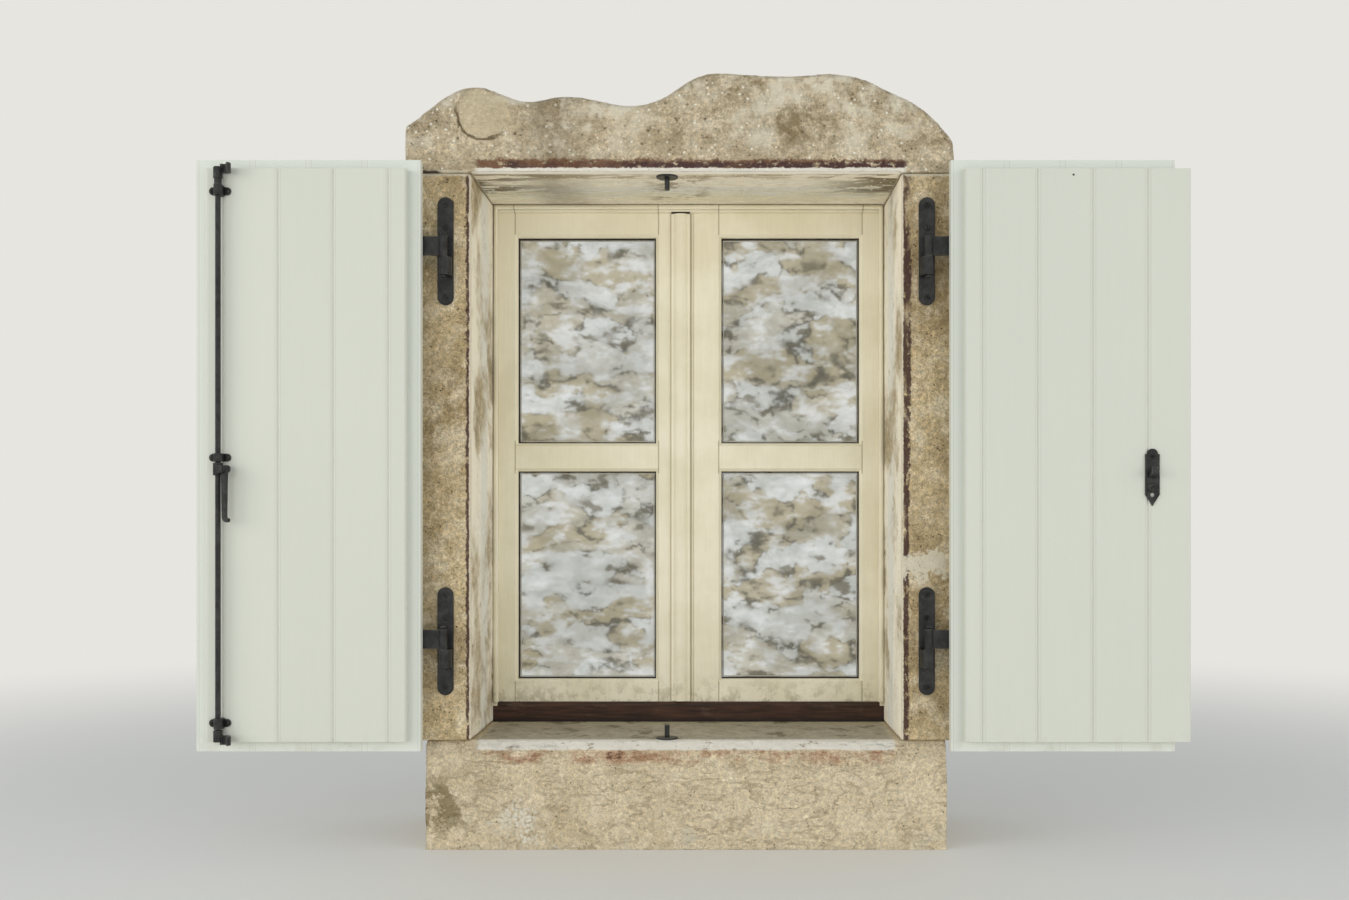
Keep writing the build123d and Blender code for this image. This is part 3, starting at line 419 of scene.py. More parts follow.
def lay_plaster(stone, inside):
    """Layers of the reveal from the street inwards: cream paint, bare plaster, grey mortar."""
    flaws = stone.noise(stone.place, 45.0, 6, 0.7, 0.5)
    drift = stone.noise(stone.stretch(stone.place, 1, 1, 0.4), 9.0, 3)
    depth = stone.y + (drift - 0.5) * 0.05
    stone.lay(stone.blend(srgb(252, 246, 230), srgb(240, 232, 210), flaws.rise(0.4, 0.7)), inside)
    stone.lay(srgb(238, 236, 226), inside * depth.between(-0.055, 0.030, 0.01) * 0.9)
    stone.lay(srgb(253, 245, 225), inside * depth.fall(-0.112, -0.100) * flaws.fall(0.60, 0.70))
    cracks = flaws.between(0.490, 0.510, 0.008) * stone.noise(stone.place, 12.0, 2).rise(0.48, 0.6)
    stone.lay(srgb(132, 118, 92), inside * cracks * 0.5)
    stone.height = stone.height * (1 - inside * 0.8) + inside * flaws * 0.3


# Lintel: one long block, greyer than the jambs, with a boulder-like swelling on the left, lime
# runs and cloudy stains, and along its lower arris a white line under old red-brown paint.
lintel = Sandstone("lintel_stone", srgb(214, 196, 163), srgb(184, 167, 136),
                   srgb(234, 222, 196), 0.3, 1.3)
soffit = lintel.z.fall(1.3135, 1.3165) * abs(lintel.x).fall(0.414, 0.418)
lay_plaster(lintel, soffit)
long_streak = lintel.noise(lintel.stretch(lintel.place, 0.25, 1, 1), 34.0, 6, 0.7, 0.5)
lintel.lay(srgb(236, 228, 198), soffit * lintel.y.between(-0.02, 0.06, 0.03)
           * long_streak.rise(0.42, 0.56) * 0.8)
lintel.lay(srgb(232, 220, 196), soffit * lintel.y.rise(0.03, 0.07)
           * long_streak.rise(0.50, 0.62) * 0.7)
lintel.lay(srgb(152, 126, 80), soffit * lintel.y.between(-0.152, -0.118, 0.008)
           * long_streak.fall(0.44, 0.54) * 0.6)
lintel.lay(srgb(106, 90, 48), soffit * abs(lintel.x).rise(0.22, 0.40)
           * lintel.y.between(-0.150, 0.0, 0.03) * long_streak.fall(0.48, 0.58) * 0.85)
ragged = lintel.noise(lintel.place, 60.0, 8, 0.8)
uneven = (ragged - 0.5) * 0.030
over = lintel.z - LINTEL_BED
street = lintel.y.fall(-0.156, -0.150)
across = lintel.x.rise(-0.418, -0.400) * lintel.x.fall(0.420, 0.432)
runs = lintel.noise(lintel.stretch(lintel.place, 1, 1, 0.16), 22.0, 3, 0.6)
tooling = lintel.noise(lintel.stretch(lintel.place, 0.22, 1, 1), 150.0, 4, 0.6, 0.4)
lintel.colour = lintel.darken(lintel.colour, 0.70 + 0.60 * tooling)
lintel.lay(srgb(255, 249, 232),
           lintel.cells(lintel.place, 62.0).fall(0.12, 0.19) * runs.rise(0.34, 0.46))
lintel.height = lintel.height + tooling * (1 - soffit) * 0.45
lintel.lay(srgb(232, 219, 190),
           runs.rise(0.42, 0.62) * lintel.x.between(-0.20, -0.08, 0.04)
           * over.rise(0.03, 0.10) * 0.6)
lintel.lay(srgb(236, 224, 198),
           runs.rise(0.50, 0.66) * over.rise(0.04, 0.17)
           * lintel.x.between(0.10, 0.42, 0.06) * 0.6)
lintel.lay(srgb(120, 106, 82), lintel.x.between(-0.31, -0.21, 0.05) * (1 - runs) * 0.8)
lintel.lay(srgb(134, 112, 80), runs.fall(0.38, 0.50) * lintel.x.between(-0.07, 0.04, 0.03) * 0.6)
clouds = lintel.noise(lintel.shift(lintel.place, 0.4, 0, 0.2), 15.0, 5, 0.65, 0.3)
lintel.lay(srgb(140, 120, 84),
           street * clouds.fall(0.38, 0.50) * lintel.x.rise(-0.16, 0.04)
           * over.rise(0.03, 0.08) * 0.75)
lintel.lay(srgb(245, 236, 213), street * clouds.rise(0.50, 0.64) * over.rise(0.02, 0.08) * 0.75)
pocks = lintel.cells(lintel.shift(lintel.place, 0.5, 0.1, 0), 48.0).fall(0.10, 0.20)
lintel.lay(srgb(112, 94, 66),
           street * pocks * clouds.fall(0.46, 0.56) * over.rise(0.02, 0.06) * 0.75)
boulder_x, boulder_z, boulder_rim = -0.393, 1.428, 0.0515
boulder = lintel.shift(lintel.place, -boulder_x, 0, -boulder_z)
from_boulder = lintel.length(lintel.stretch(boulder, 1, 0, 1.05))
swell = lintel.noise(lintel.place, 24.0, 3, 0.6)
edge = from_boulder + (ragged - 0.5) * 0.012 + (swell - 0.5) * 0.030
lintel.lay(srgb(222, 206, 170), street * edge.fall(0.040, 0.056) * 0.7)
# Painted shadow: a dark band along the lower-left rim of the swelling, also cut as a shallow
# groove in the bump.
lower_left = (lintel.z + lintel.x * 0.6).fall(1.150, 1.200)
rim_groove_and_shadow = edge.between(boulder_rim, 0.0560, 0.0014) * lower_left * swell.rise(0.36, 0.50)
rim_groove_and_shadow = street * rim_groove_and_shadow
lintel.lay(srgb(104, 86, 58), rim_groove_and_shadow * 0.8)
lintel.height = lintel.height - rim_groove_and_shadow * 0.8
left_bed = street * lintel.x.fall(-0.428, -0.420)
lintel.lay(srgb(236, 225, 198), left_bed * (over + uneven * 0.3).fall(0.004, 0.006) * 0.8)
# Painted shadow: a dark line just above the bed joint at the left end, in the open joint under the
# lintel.
lintel.lay(srgb(66, 52, 36),
           left_bed * lintel.x.fall(-0.485, -0.470)
           * (over + uneven * 0.5).fall(0.003, 0.0045) * 0.9)
flakes = lintel.noise(lintel.stretch(lintel.place, 0.6, 1, 1), 90.0, 6, 0.75).rise(0.36, 0.46)
lintel.lay(srgb(118, 76, 54), street * across * (over + uneven).between(0.008, 0.026, 0.003)
           * lintel.noise(lintel.place, 9.0, 3).rise(0.22, 0.36) * flakes * 0.85)
purple = lintel.noise(lintel.shift(lintel.place, 0.2, 0, 0), 6.0, 4, 0.6)
lintel.lay(srgb(84, 62, 62), street * across * (over + uneven).between(0.008, 0.021, 0.003)
           * (purple + lintel.x * 0.3).rise(0.38, 0.50) * flakes * 0.9)
lintel.lay(srgb(255, 249, 234), street * across * (over + uneven * 0.45).fall(0.008, 0.010)
           * lintel.noise(lintel.place, 130.0, 4, 0.7).rise(0.26, 0.34))
ends = lintel.y.fall(-0.14, -0.10)
lintel.lay(srgb(186, 176, 150), (1 - ends) * (1 - soffit) * ragged.rise(0.35, 0.6) * 0.6)
lintel.close()
carve("lintel_stone", lintel, 0.0030, 0.0016, 0.0020, 1.0)

# Jambs: the two uprights, warm and finely pecked. The arris to the window has a cream paint
# line and beside it a dark purple-brown band, wide and ragged on the right one.
for side, node, band, seed in (
        (-1, "left_jamb_stone", 0.0060, 4.0), (1, "right_jamb_stone", 0.0140, 9.0)):
    stone = Sandstone(node, srgb(222, 199, 155), srgb(180, 157, 117),
                      srgb(244, 230, 199), 0.1, 1.4)
    inner_face = (stone.x * side).fall(0.4168, 0.4190) * stone.y.rise(-0.1640, -0.1590)
    lay_plaster(stone, inner_face)
    ragged = stone.noise(stone.place, 70.0, 8, 0.8)
    weave = (ragged - 0.5) * 0.020
    away = stone.x * side - OPENING_HALF
    street = stone.y.fall(-0.160, -0.155)
    weather = stone.noise(stone.stretch(stone.place, 1, 1, 0.5), 6.0, 4, 0.65)
    stone.lay(srgb(134, 108, 62), street * weather.rise(0.50, 0.68) * 0.45)
    stone.lay(srgb(232, 220, 188),
              street * weather.fall(0.30, 0.42) * stone.z.fall(0.3, 0.62) * 0.8)
    stone.lay(srgb(240, 228, 198),
              street * weather.rise(0.52, 0.62) * stone.z.between(0.44, 0.60, 0.04) * 0.7)
    wide = band * (0.75 + 0.35 * stone.z.rise(0.55, 1.0)) if side > 0 else band
    paint = away + weave - 0.0045
    flakes = stone.noise(stone.stretch(stone.place, 1, 1, 0.6), 95.0, 6, 0.75).rise(0.36, 0.46)
    stain = paint.rise(-0.001, 0.001) * (paint - wide).fall(-0.001, 0.0015)
    worn_off = stone.noise(stone.stretch(stone.place, 1, 1, 0.3), 26.0, 4, 0.6)
    stone.lay(srgb(80, 54, 52), street * stain * worn_off.rise(0.32, 0.44) * flakes * 0.92)
    stone.lay(srgb(246, 234, 210), street * (away + weave * 0.3).fall(0.0045, 0.0060)
              * worn_off.rise(0.28, 0.36))
    stone.lay(srgb(232, 222, 196),
              street * (LINTEL_BED - stone.z + weave).fall(0.005, 0.008) * 0.85)
    if side > 0:
        splash_height = 0.552
        lime = stone.noise(stone.place, 30.0, 6, 0.7) - 0.5
        splash = (abs(stone.z - splash_height) - lime * 0.12).fall(0.018, 0.026)
        splash = splash * stone.x.fall(0.496, 0.512)
        stone.lay(srgb(248, 238, 214), street * splash * 0.85)
    buried = stone.y.rise(-0.14, -0.10) * (1 - inner_face)
    stone.lay(srgb(190, 178, 148), buried * ragged.rise(0.35, 0.6) * 0.6)
    stone.close()
    carve(node, stone, 0.0022, 0.0012, 0.0016, seed)

# Sill: a deep block with a riven front. Its top arris is worn round and keeps its pale paint,
# with rust-red stains and dark specks below it.
sill = Sandstone("sill_stone", srgb(243, 225, 190), srgb(219, 200, 164),
                 srgb(248, 234, 203), 1.0, 1.05)
ragged = sill.noise(sill.place, 55.0, 5, 0.7)
under = SILL_BED - sill.z + (ragged - 0.5) * 0.010
street = sill.y.fall(-0.140, -0.130)
span = abs(sill.x).fall(0.398, 0.412)
red = sill.noise(sill.stretch(sill.place, 1, 1, 1.6), 13.0, 9, 0.85)
sill.lay(srgb(176, 112, 76),
         street * span * under.between(0.018, 0.044, 0.006) * red.rise(0.44, 0.58) * 0.65)
sill.lay(srgb(78, 52, 40),
         street * span * under.between(0.019, 0.040, 0.004) * red.rise(0.57, 0.62) * 0.8)
sill.lay(srgb(255, 250, 236), span * under.fall(0.016, 0.020) * 0.95)
chips = sill.noise(sill.stretch(sill.place, 0.4, 1, 1), 70.0, 6, 0.75).fall(0.34, 0.42)
sill.lay(srgb(150, 128, 94), span * under.between(0.0, 0.020, 0.002) * chips * 0.8)
bed = sill.z.rise(0.206, 0.2085) * sill.y.rise(-0.150, -0.135)
mortar = sill.blend(srgb(176, 163, 132), srgb(208, 198, 172), ragged.rise(0.35, 0.65))
sill.lay(mortar, bed * span * 0.8)
sill.lay(srgb(214, 204, 172), bed * span * sill.y.rise(0.045, 0.055))
sill.lay(srgb(110, 94, 66),
         bed * span * sill.noise(sill.place, 18.0, 4, 0.7).rise(0.54, 0.66) * 0.6)
moss = sill.noise(sill.place, 20.0, 6, 0.7)
corner = sill.x.fall(-0.46, -0.36) * sill.z.between(0.03, 0.14, 0.04)
sill.lay(srgb(126, 108, 62), street * corner * moss.rise(0.44, 0.54) * 0.75)
chalk_x, chalk_z = -0.315, 0.045
chalk_spot = sill.stretch(sill.shift(sill.place, -chalk_x, 0, -chalk_z), 1, 0, 1)
chalky = (sill.length(chalk_spot) - (moss - 0.5) * 0.24).fall(0.010, 0.060)
sill.lay(srgb(252, 245, 226), street * chalky * sill.cells(sill.place, 150.0).fall(0.30, 0.75))
sill.lay(srgb(226, 218, 196), street * sill.z.fall(0.03, 0.08) * moss.rise(0.54, 0.66) * 0.6)
buried = sill.y.rise(-0.10, -0.06) * sill.z.fall(0.19, 0.205)
sill.lay(srgb(188, 177, 148), buried * ragged.rise(0.35, 0.6) * 0.6)
sill.close(0.006)
carve("sill_stone", sill, 0.0040, 0.0026, 0.0020, 14.0)


# Window frame, sashes and astragal: planed softwood under a cream gloss that has yellowed a
# little, with brush marks along each member, dirt low down where rain dries, and painted shade
# in the angles beside the astragal.
def dress(finish, *nodes):
    """Give a finish to CAD nodes that are shown as they are."""
    for node in nodes:
        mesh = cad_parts[node].data
        mesh.materials.clear()
        mesh.materials.append(finish.material)


def cream_paint(name, along):
    """Brushed cream paint, opened in hairlines where stiles and rails meet, with painted shade
    lines beside the astragal and a painted shadow for the dark slot at the astragal's head; along
    is how much each axis is squeezed for the brush marks."""
    paint = Finish(name)
    tone = paint.noise(paint.place, 7.0, 4, 0.6)
    brush = paint.noise(paint.stretch(paint.place, *along), 320.0, 3, 0.6)
    dirt = paint.noise(paint.place, 40.0, 6, 0.7)
    colour = paint.blend(srgb(233, 225, 197), srgb(242, 235, 211), tone.rise(0.35, 0.65))
    colour = paint.darken(colour, 0.93 + 0.13 * brush)
    low = paint.z.fall(0.235, 0.33) * dirt.rise(0.46, 0.62)
    colour = paint.blend(colour, srgb(150, 136, 100), low * 0.55)
    specks = paint.cells(paint.place, 170.0).fall(0.05, 0.11) * dirt.rise(0.55, 0.63)
    colour = paint.blend(colour, srgb(112, 98, 70), specks * 0.6)
    outside = paint.y.fall(0.109, 0.111)
    top_rail = paint.z.rise(1.251, 1.254)
    middle_rail = paint.z.between(0.741, 0.811, 0.002)
    bottom_rail = paint.z.fall(0.295, 0.298)
    pane_middle, stile_from_middle = 0.218, 0.1535
    stile = abs(abs(abs(paint.x) - pane_middle) - stile_from_middle)
    seam = outside * (top_rail + middle_rail + bottom_rail) * stile.fall(0.0006, 0.0016)
    colour = paint.blend(colour, srgb(158, 143, 108), seam * 0.75)
    astragal_x = -0.017
    # Painted shade: a darker line down each side of the astragal, where it meets the sash's face.
    corner = (outside * abs(paint.x - astragal_x).between(0.0195, 0.0222, 0.0006)
              * paint.z.between(0.254, 1.297, 0.001))
    colour = paint.blend(colour, srgb(170, 155, 120), corner * 0.4)
    # Painted shadow: a dark band where the astragal's head meets the frame, standing for the gap's
    # shade.
    slot = paint.x.between(-0.037, 0.003, 0.0005) * paint.z.between(1.2955, 1.2990, 0.0005)
    colour = paint.blend(colour, srgb(52, 38, 30), slot)
    paint.give("Base Color", colour)
    paint.give("Roughness", 0.34 + 0.16 * dirt + 0.1 * brush)
    paint.emboss(brush * 0.5 + tone * 0.5 - seam * 1.5 - corner, 0.0004, 0.7)
    return paint


sash_paint = cream_paint("window_paint", (1, 1, 0.04))
dress(sash_paint, "window_frame", "left_sash", "right_sash", "astragal")

# Threshold: a hardwood member between the jambs, below the casements. It is stained a dark
# red-brown, lighter where the weather has worn it.
stain = Finish("threshold_paint")
rings = stain.noise(stain.stretch(stain.place, 0.05, 1, 1), 260.0, 4, 0.65)
weather = stain.noise(stain.stretch(stain.place, 0.4, 1, 1), 30.0, 5, 0.7)
wood = stain.blend(srgb(42, 29, 22), srgb(76, 50, 36), rings.rise(0.35, 0.65))
wood = stain.blend(wood, srgb(34, 24, 22), stain.z.fall(0.214, 0.224) * 0.9)
wood = stain.blend(wood, srgb(122, 100, 84), weather.rise(0.55, 0.70) * 0.35)
stain.give("Base Color", wood)
stain.give("Roughness", 0.5 + 0.3 * weather)
stain.emboss(rings, 0.0006)
dress(stain, "threshold")

# Panes: clear sheets before a dark room. Seen from the street they mostly mirror the wall
# across it, so the sheet is dark and strongly reflecting, with patchy rain marks across it.
glass = Finish("glass")
# Painted reflection: the base colour of the mirroring sheet is mottled pale and paler, a blurred
# wall painted into the glass.
painted_reflection_mottle = glass.noise(glass.stretch(glass.place, 1, 1, 1.5), 6.5, 4, 0.6, 0.5)
film = glass.noise(glass.place, 30.0, 5, 0.65)
pane = glass.blend(srgb(206, 207, 201), srgb(232, 233, 229), painted_reflection_mottle.rise(0.38, 0.62))
glass.give("Base Color", pane)
glass.give("Metallic", 0.86 - 0.1 * film)
glass.give("Roughness", 0.015 + 0.04 * film.rise(0.5, 0.8))
dress(glass, "left_panes", "right_panes")


# Glazing seals: a black rubber seal lies in the angle between glass and sash, and just inside
# it shows the pale metal spacer of the sealed unit. Each is one strip run round every pane.
def strip_tree():
    """Sweep a small squared strip along lines."""
    sheet, given = new_tree("strip", {
        "Width": "Float", "Thickness": "Float", "Finish": "Material"})
    path = sheet.add("GeometryNodeMeshToCurve", None, {0: given["Mesh"]})
    profile = sheet.add("GeometryNodeCurvePrimitiveQuadrilateral", None, {
        "Width": given["Width"], "Height": given["Thickness"]})
    swept = sheet.add("GeometryNodeCurveToMesh", None, {"Curve": path, "Profile Curve": profile})
    return close_tree(sheet, swept, given["Finish"])


strip = strip_tree()


def run_strip(name, lines, width, thickness, finish, body):
    """A piece made of strips; each line is its points, and whether it closes on itself."""
    points, edges = [], []
    for stops, closed in lines:
        first = len(points)
        points += stops
        last = len(stops) if closed else len(stops) - 1
        edges += [(first + n, first + (n + 1) % len(stops)) for n in range(last)]
    outline = bpy.data.meshes.new(name)
    outline.from_pydata(points, edges, [])
    piece = bpy.data.objects.new(name, outline)
    bpy.context.scene.collection.objects.link(piece)
    shape(piece, strip, {"Width": width, "Thickness": thickness, "Finish": finish.material})
    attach(piece, body)


rubber = Finish("rubber_seal")
wear = rubber.noise(rubber.place, 90.0, 4, 0.6)
rubber.give("Base Color", rubber.blend(srgb(30, 29, 26), srgb(66, 62, 52), wear.rise(0.45, 0.75)))
rubber.give("Roughness", 0.75)
rubber.emboss(wear, 0.0003)
spacer = Finish("metal_spacer")
dull = spacer.noise(spacer.place, 60.0, 3)
spacer.give("Base Color", spacer.blend(srgb(176, 172, 158), srgb(214, 209, 192), dull))
spacer.give("Roughness", 0.45 + 0.1 * dull)
PANE_SPANS = ((0.301, 0.746), (0.806, 1.247))
PANE_NEAR, PANE_FAR = 0.070, 0.366
GLASS_FRONT, GLASS_BACK = 0.1264, 0.1304
for side, label in ((-1, "left"), (1, "right")):
    for kind, finish, slot, inset, width, thickness, lift in (
            ("_seal", rubber, "black_iron", 0.0016, 0.003, 0.003, 0.0018),
            ("_spacer", spacer, "window_paint", 0.0048, 0.0008, 0.0028, 0.0005)):
        near, far = side * (PANE_NEAR + inset), side * (PANE_FAR - inset)
        rings = []
        for low, high in PANE_SPANS:
            foot, head = low + inset, high - inset
            for y in (GLASS_FRONT - lift, GLASS_BACK + lift):
                corners = [(near, y, foot), (far, y, foot), (far, y, head), (near, y, head)]
                rings.append((corners, True))
        run_strip(label + kind, rings, width, thickness, finish, label + "_casement")

# Meeting seal: a thin soft lip on the left sash that closes the joint between the two. It is
# fixed in the stile and swings with the left sash.
lip = [(0.00795, 0.1092, 0.249), (0.00795, 0.1092, 1.307)]
run_strip("meeting_seal", [(lip, False)], 0.0065, 0.0008, sash_paint, "left_casement")

# Cover bead: a planed strip pinned in the angle between the frame and the plaster, up both
# sides and across the head, under the same cream paint.
bead_x, bead_y, bead_foot, bead_head = 0.4098, 0.0914, 0.2545, 1.3068
bead = [(-bead_x, bead_y, bead_foot), (-bead_x, bead_y, bead_head),
        (bead_x, bead_y, bead_head), (bead_x, bead_y, bead_foot)]
run_strip("cover_bead", [(bead, False)], 0.0112, 0.0100, sash_paint, "surround")


# Wrought iron: plates, straps, rod and handle, forged and finished in matt black, with the
# faint grain of the coating, rubbed grey with a painted highlight on its arrises, painted shade
# black in its angles, dusty on ledges.
def black_iron(name, rub, metal=0.30, dull=0.34):
    """Matt black coating over forged iron; rub is how much of it is worn grey, and dull is
    its least roughness."""
    iron = Finish(name)
    tone = iron.noise(iron.place, 60.0, 5, 0.65)
    orange_peel = iron.noise(iron.place, 900.0, 2)
    hammer = iron.cells(iron.place, 85.0)
    colour = iron.blend(srgb(40, 41, 42), srgb(62, 63, 62), tone.rise(0.35, 0.70))
    rubbed = iron.noise(iron.shift(iron.place, 1, 2, 3), 130.0, 5, 0.7).rise(0.56, 0.70)
    colour = iron.blend(colour, srgb(104, 101, 95), rubbed * rub)
    up = iron.axes(iron.add("ShaderNodeNewGeometry", outlet="Normal"))[2].rise(0.55, 0.95)
    colour = iron.blend(colour, srgb(128, 120, 102), up * tone.rise(0.40, 0.62) * 0.45)
    # Painted shade: the colour is darkened by ambient occlusion within 10 mm, so angles and
    # contacts go black.
    crevice_shade = iron.add("ShaderNodeAmbientOcclusion", {"samples": 8}, {"Distance": 0.010}, "AO")
    # Worn grey and painted highlight: convex arrises, found by inside occlusion, are lightened.
    arris = iron.add("ShaderNodeAmbientOcclusion",
                     {"samples": 8, "inside": True, "only_local": True},
                     {"Distance": 0.0022}, "AO")
    rubbed_and_lit_arris = arris.fall(0.45, 0.80) * tone.rise(0.34, 0.60)
    colour = iron.blend(colour, srgb(116, 114, 108), rubbed_and_lit_arris * 0.55)
    colour = iron.darken(colour, 0.25 + 0.75 * crevice_shade.rise(0.35, 0.92))
    iron.give("Base Color", colour)
    iron.give("Metallic", metal)
    iron.give("Roughness", dull + 0.22 * tone)
    iron.give("Specular IOR Level", 0.45)
    iron.emboss(hammer * 0.6 + orange_peel * 0.12 + tone * 0.5, 0.0005)
    return iron


plate_iron = black_iron("black_iron", 0.25)
plates = [side + "_" + level + kind for side in ("left", "right") for level in ("upper", "lower")
          for kind in ("_wall_plate", "_strap")]
dress(plate_iron, "hinge_pins", "top_stud", "bottom_stud", *plates)

# Sash hinges: small zinc-plated knuckle hinges on the room side, two to each casement. The
# plating has gone dull and grey.
zinc = Finish("window_iron")
bloom = zinc.noise(zinc.place, 150.0, 5, 0.7)
zinc.give("Base Color", zinc.blend(srgb(126, 124, 116), srgb(168, 166, 158), bloom))
zinc.give("Metallic", 0.7)
zinc.give("Roughness", 0.38 + 0.3 * bloom)
zinc.emboss(bloom, 0.0002)
dress(zinc, "sash_hinge_posts", "left_sash_knuckles", "right_sash_knuckles")


# Screws: black round-head coach screws with a six-sided socket, the same on the plates,
# straps, guides and keeper, each turned as far as it happened to go.
def round_head(name, head, head_height, shank, length):
    """One screw, turned about Z: a dome with a socket, and a shank that goes down."""
    steps = 24
    socket, socket_floor = head * 0.42, head_height * 0.4
    rows = [(0.0, socket_floor, True), (socket, socket_floor, True), (socket, head_height, True)]
    rows += [(head * r, head_height * z, False) for r, z in (
        (0.5, 1.0), (0.62, 0.97), (0.80, 0.84), (0.93, 0.58), (1.0, 0.22), (1.0, 0.0))]
    rows += [(shank, 0.0, False), (shank, -length * 0.97, False), (shank * 0.6, -length, False)]
    made = bmesh.new()
    loops = []
    for radius, z, six_sided in rows:
        turned = []
        for n in range(steps):
            angle = 2 * pi * n / steps
            reach = radius
            if six_sided:
                reach = radius * cos(pi / 6) / cos((angle % (pi / 3)) - pi / 6)
            turned.append(made.verts.new((reach * cos(angle), reach * sin(angle), z)))
        loops.append(turned)
    for inner, outer in zip(loops, loops[1:]):
        for n in range(steps):
            after = (n + 1) % steps
            made.faces.new((inner[n], outer[n], outer[after], inner[after]))
    made.faces.new(reversed(loops[-1]))
    bmesh.ops.remove_doubles(made, verts=made.verts, dist=1e-6)
    bmesh.ops.recalc_face_normals(made, faces=made.faces)
    mesh = bpy.data.meshes.new(name)
    made.to_mesh(mesh)
    made.free()
    pattern = bpy.data.objects.new(name, mesh)
    bpy.context.scene.collection.objects.link(pattern)
    return pattern


def screw_row_tree():
    """Drive the same screw at every point, facing one way and turned at random."""
    sheet, given = new_tree("row of screws", {
        "Screw": "Object", "Facing": "Vector", "Seed": "Int", "Finish": "Material"})
    pattern = sheet.add("GeometryNodeObjectInfo", None, {"Object": given["Screw"]}, "Geometry")
    rotation = sheet.add("FunctionNodeEulerToRotation", None, {0: given["Facing"]})
    driven = sheet.add("GeometryNodeInstanceOnPoints", None, {
        "Points": given["Mesh"], "Instance": pattern, "Rotation": rotation})
    turn = sheet.add("FunctionNodeRandomValue", {"data_type": "FLOAT"}, {
        2: 0.0, 3: pi / 3, "Seed": given["Seed"]}, 1)
    spin = sheet.add("ShaderNodeCombineXYZ", None, {2: turn})
    turned = sheet.add("GeometryNodeRotateInstances", None, {
        "Instances": driven, "Rotation": sheet.add("FunctionNodeEulerToRotation", None, {0: spin}),
        "Local Space": True})
    return close_tree(sheet, turned, given["Finish"])


screw_row = screw_row_tree()
screw_iron = black_iron("screw_iron", 0.9, 0.7, 0.28)


def drive(name, places, pattern, towards, node, body, seed):
    """Screws that stand for one CAD node of them; towards is 1 for heads that face the
    street with the shutters open, and -1 for heads that face the wall."""
    marks = bpy.data.meshes.new(name)
    marks.from_pydata(places, [], [])
    row = bpy.data.objects.new(name, marks)
    bpy.context.scene.collection.objects.link(row)
    shape(row, screw_row, {"Screw": pattern, "Facing": (towards * pi / 2, 0, 0), "Seed": seed,
                           "Finish": screw_iron.material})
    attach(row, body)
    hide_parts(node)


HEAD_HEIGHT, SHANK = 0.0026, 0.0025
coach_screw = round_head("coach_screw", 0.0055, HEAD_HEIGHT, SHANK, 0.045)
strap_screw = round_head("strap_screw", 0.0055, HEAD_HEIGHT, SHANK, 0.040)
small_screw = round_head("small_screw", 0.0036, HEAD_HEIGHT, SHANK, 0.022)
PLATE_BASES = (1.055, 0.300)
PLATE_SCREWS = (0.015, 0.150, 0.194)
PLATE_FACE, STRAP_FACE, GUIDE_FACE, CRADLE_FACE = -0.170, -0.1885, -0.238, -0.242
plate_marks = [(side * HINGE_LINE, PLATE_FACE, base + rise) for side in (-1, 1)
               for base in PLATE_BASES for rise in PLATE_SCREWS]
drive("wall_screws", plate_marks, coach_screw, 1, "wall_plate_screws", "surround", 1)
STRAP_FIRST, STRAP_PITCH, STRAP_RISE = 0.530, 0.078, 0.110
for side, label in ((-1, "left"), (1, "right")):
    strap_marks = [(side * (STRAP_FIRST + STRAP_PITCH * n), STRAP_FACE, base + STRAP_RISE)
                   for base in PLATE_BASES for n in range(4)]
    drive(label + "_leaf_screws", strap_marks, strap_screw, -1, label + "_strap_screws",
          label + "_leaf", 2)
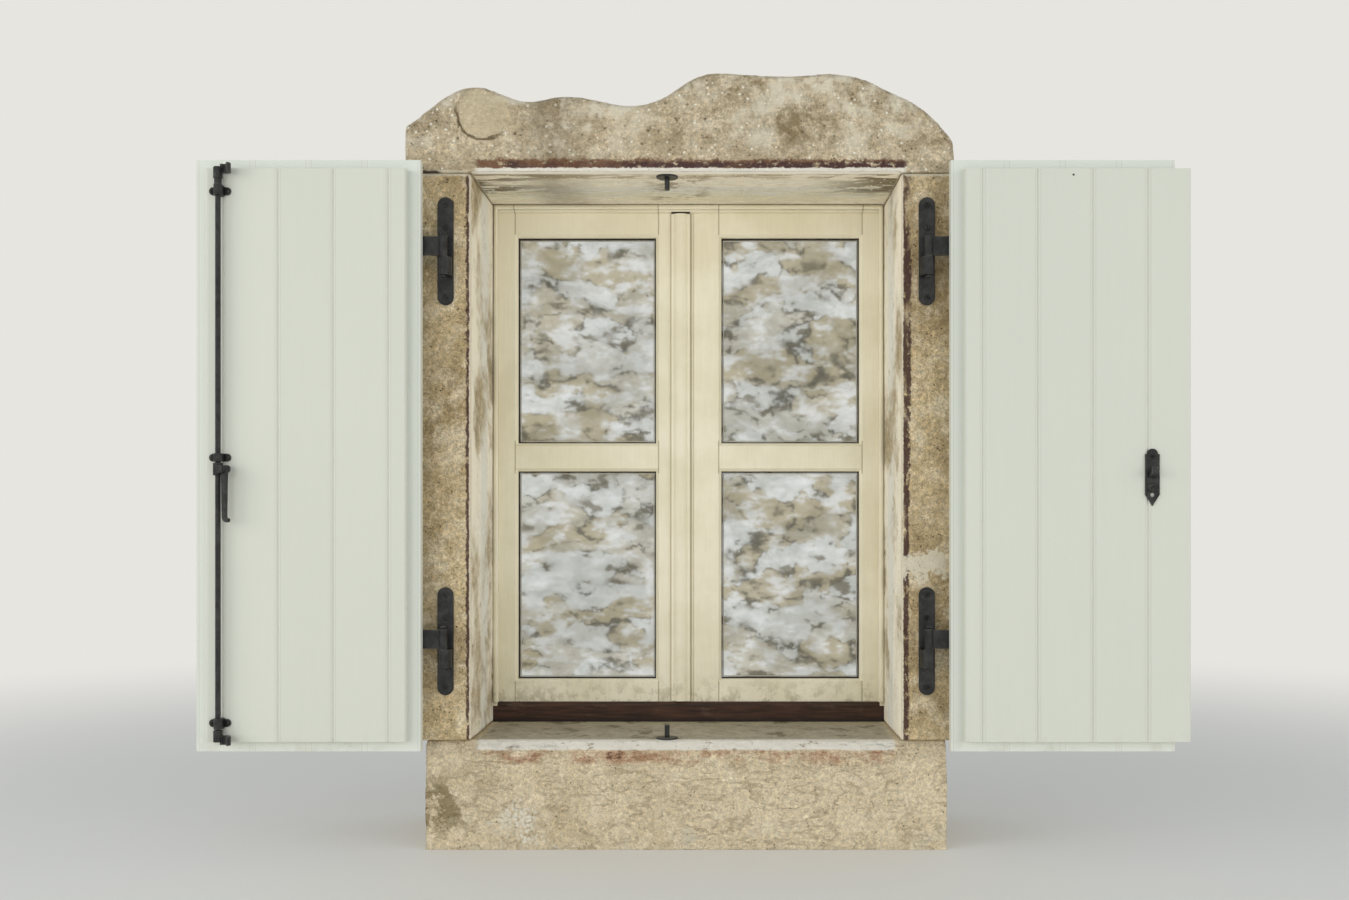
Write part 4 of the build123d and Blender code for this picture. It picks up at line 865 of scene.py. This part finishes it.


# Shutter boards: two layers of matched softwood boards, V-jointed, under several coats of pale
# grey-white paint, brushed along the grain, painted lighter in the joints against their shade
# with a painted shade line beside each, and a little grimy at the feet.
def board_paint(name, light, first_seam, cover):
    """Brushed pale paint. Every board has its own tone; each V joint is painted lighter against
    its shade, with a painted shade line to either side; first_seam is the first one's distance
    from the middle, cover a board's width."""
    paint = Finish(name)
    across = abs(paint.x) - first_seam
    count = across // cover
    tone = paint.add("ShaderNodeTexWhiteNoise", {"noise_dimensions": "1D"},
                     {"W": count + paint.x.rise(-0.01, 0.01) * 7})
    near = abs((across + cover / 2) % cover - cover / 2)
    soft = paint.noise(paint.place, 3.0, 3)
    brush = paint.noise(paint.stretch(paint.place, 1, 1, 0.025), 420.0, 4, 0.6)
    streak = paint.noise(paint.stretch(paint.place, 1, 1, 0.06), 60.0, 4, 0.6)
    dust = paint.noise(paint.place, 24.0, 6, 0.7)
    shade = 0.955 + 0.035 * tone + 0.05 * soft + 0.03 * (streak - 0.5) + 0.03 * brush
    colour = paint.darken(light, shade)
    # Painted light: within 3 mm of each V joint the paint is lightened, against the shade that
    # falls in the groove.
    colour = paint.blend(colour, srgb(214, 216, 206), near.fall(0.0018, 0.0030) * 0.85)
    # Painted shade: a grey line about 5 mm to each side of every joint, for the shaded edge of the
    # wide V.
    colour = paint.blend(colour, srgb(184, 185, 175), near.between(0.0044, 0.0058, 0.0006) * 0.45)
    feet = paint.z.fall(0.205, 0.250) * dust.rise(0.46, 0.66)
    colour = paint.blend(colour, srgb(180, 176, 162), feet * 0.3)
    nail_x, nail_z = 0.732, 1.290
    nail = paint.stretch(paint.shift(paint.place, -nail_x, 0, -nail_z), 1, 0, 1)
    colour = paint.blend(colour, srgb(46, 44, 40), paint.length(nail).fall(0.0016, 0.0026))
    specks = paint.cells(paint.place, 90.0).fall(0.035, 0.075) * dust.rise(0.56, 0.62)
    colour = paint.blend(colour, srgb(120, 112, 96), specks * 0.5)
    paint.give("Base Color", colour)
    paint.give("Roughness", 0.42 + 0.14 * dust)
    paint.emboss(brush * 0.35 + streak * 0.65 + dust * 0.2, 0.0005, 0.6)
    return paint


inner_paint = board_paint("shutter_paint", srgb(205, 207, 196), 0.561, 0.104)
outer_paint = board_paint("shutter_margin_paint", srgb(213, 217, 208), 0.504, 0.1065)
for side in ("left", "right"):
    dress(inner_paint, *[side + "_inner_board_" + str(n) for n in range(1, 6)])
    dress(outer_paint, *[side + "_outer_board_" + str(n) for n in range(1, 5)])

# Espagnolette: the rod turns in three guides on the left leaf; its hooks and the forked
# handle are forged solid, and the lever is rubbed where it is taken hold of.
grip_iron = black_iron("grip_iron", 0.55)
dress(plate_iron, "rod", "top_rod_guide", "middle_rod_guide", "bottom_rod_guide", "handle_socket")
dress(grip_iron, "lever", "lever_pin", "top_hook", "bottom_hook")
ROD_LINE, GUIDE_SCREW_REACH = -0.877, 0.0145
GUIDE_HEIGHTS = (1.258, 0.756, 0.256)
guide_marks = [(ROD_LINE + side * GUIDE_SCREW_REACH, GUIDE_FACE, z) for z in GUIDE_HEIGHTS
               for side in (-1, 1)]
drive("guide_fixings", guide_marks, small_screw, 1, "guide_screws", "left_leaf", 5)

# Keeper: a shaped plate on the right leaf with an open cradle that the lever drops into. It
# is forged and blackened like the rest, and held by two screws.
dress(grip_iron, "keeper")
KEEPER_LINE = 0.880
keeper_marks = [(KEEPER_LINE, GUIDE_FACE, 0.758), (KEEPER_LINE, CRADLE_FACE, 0.699)]
drive("keeper_fixings", keeper_marks, small_screw, 1, "keeper_screws", "right_leaf", 6)

# The pattern screws go, since every screw is now part of a row.
for pattern in (coach_screw, strap_screw, small_screw):
    bpy.data.objects.remove(pattern)
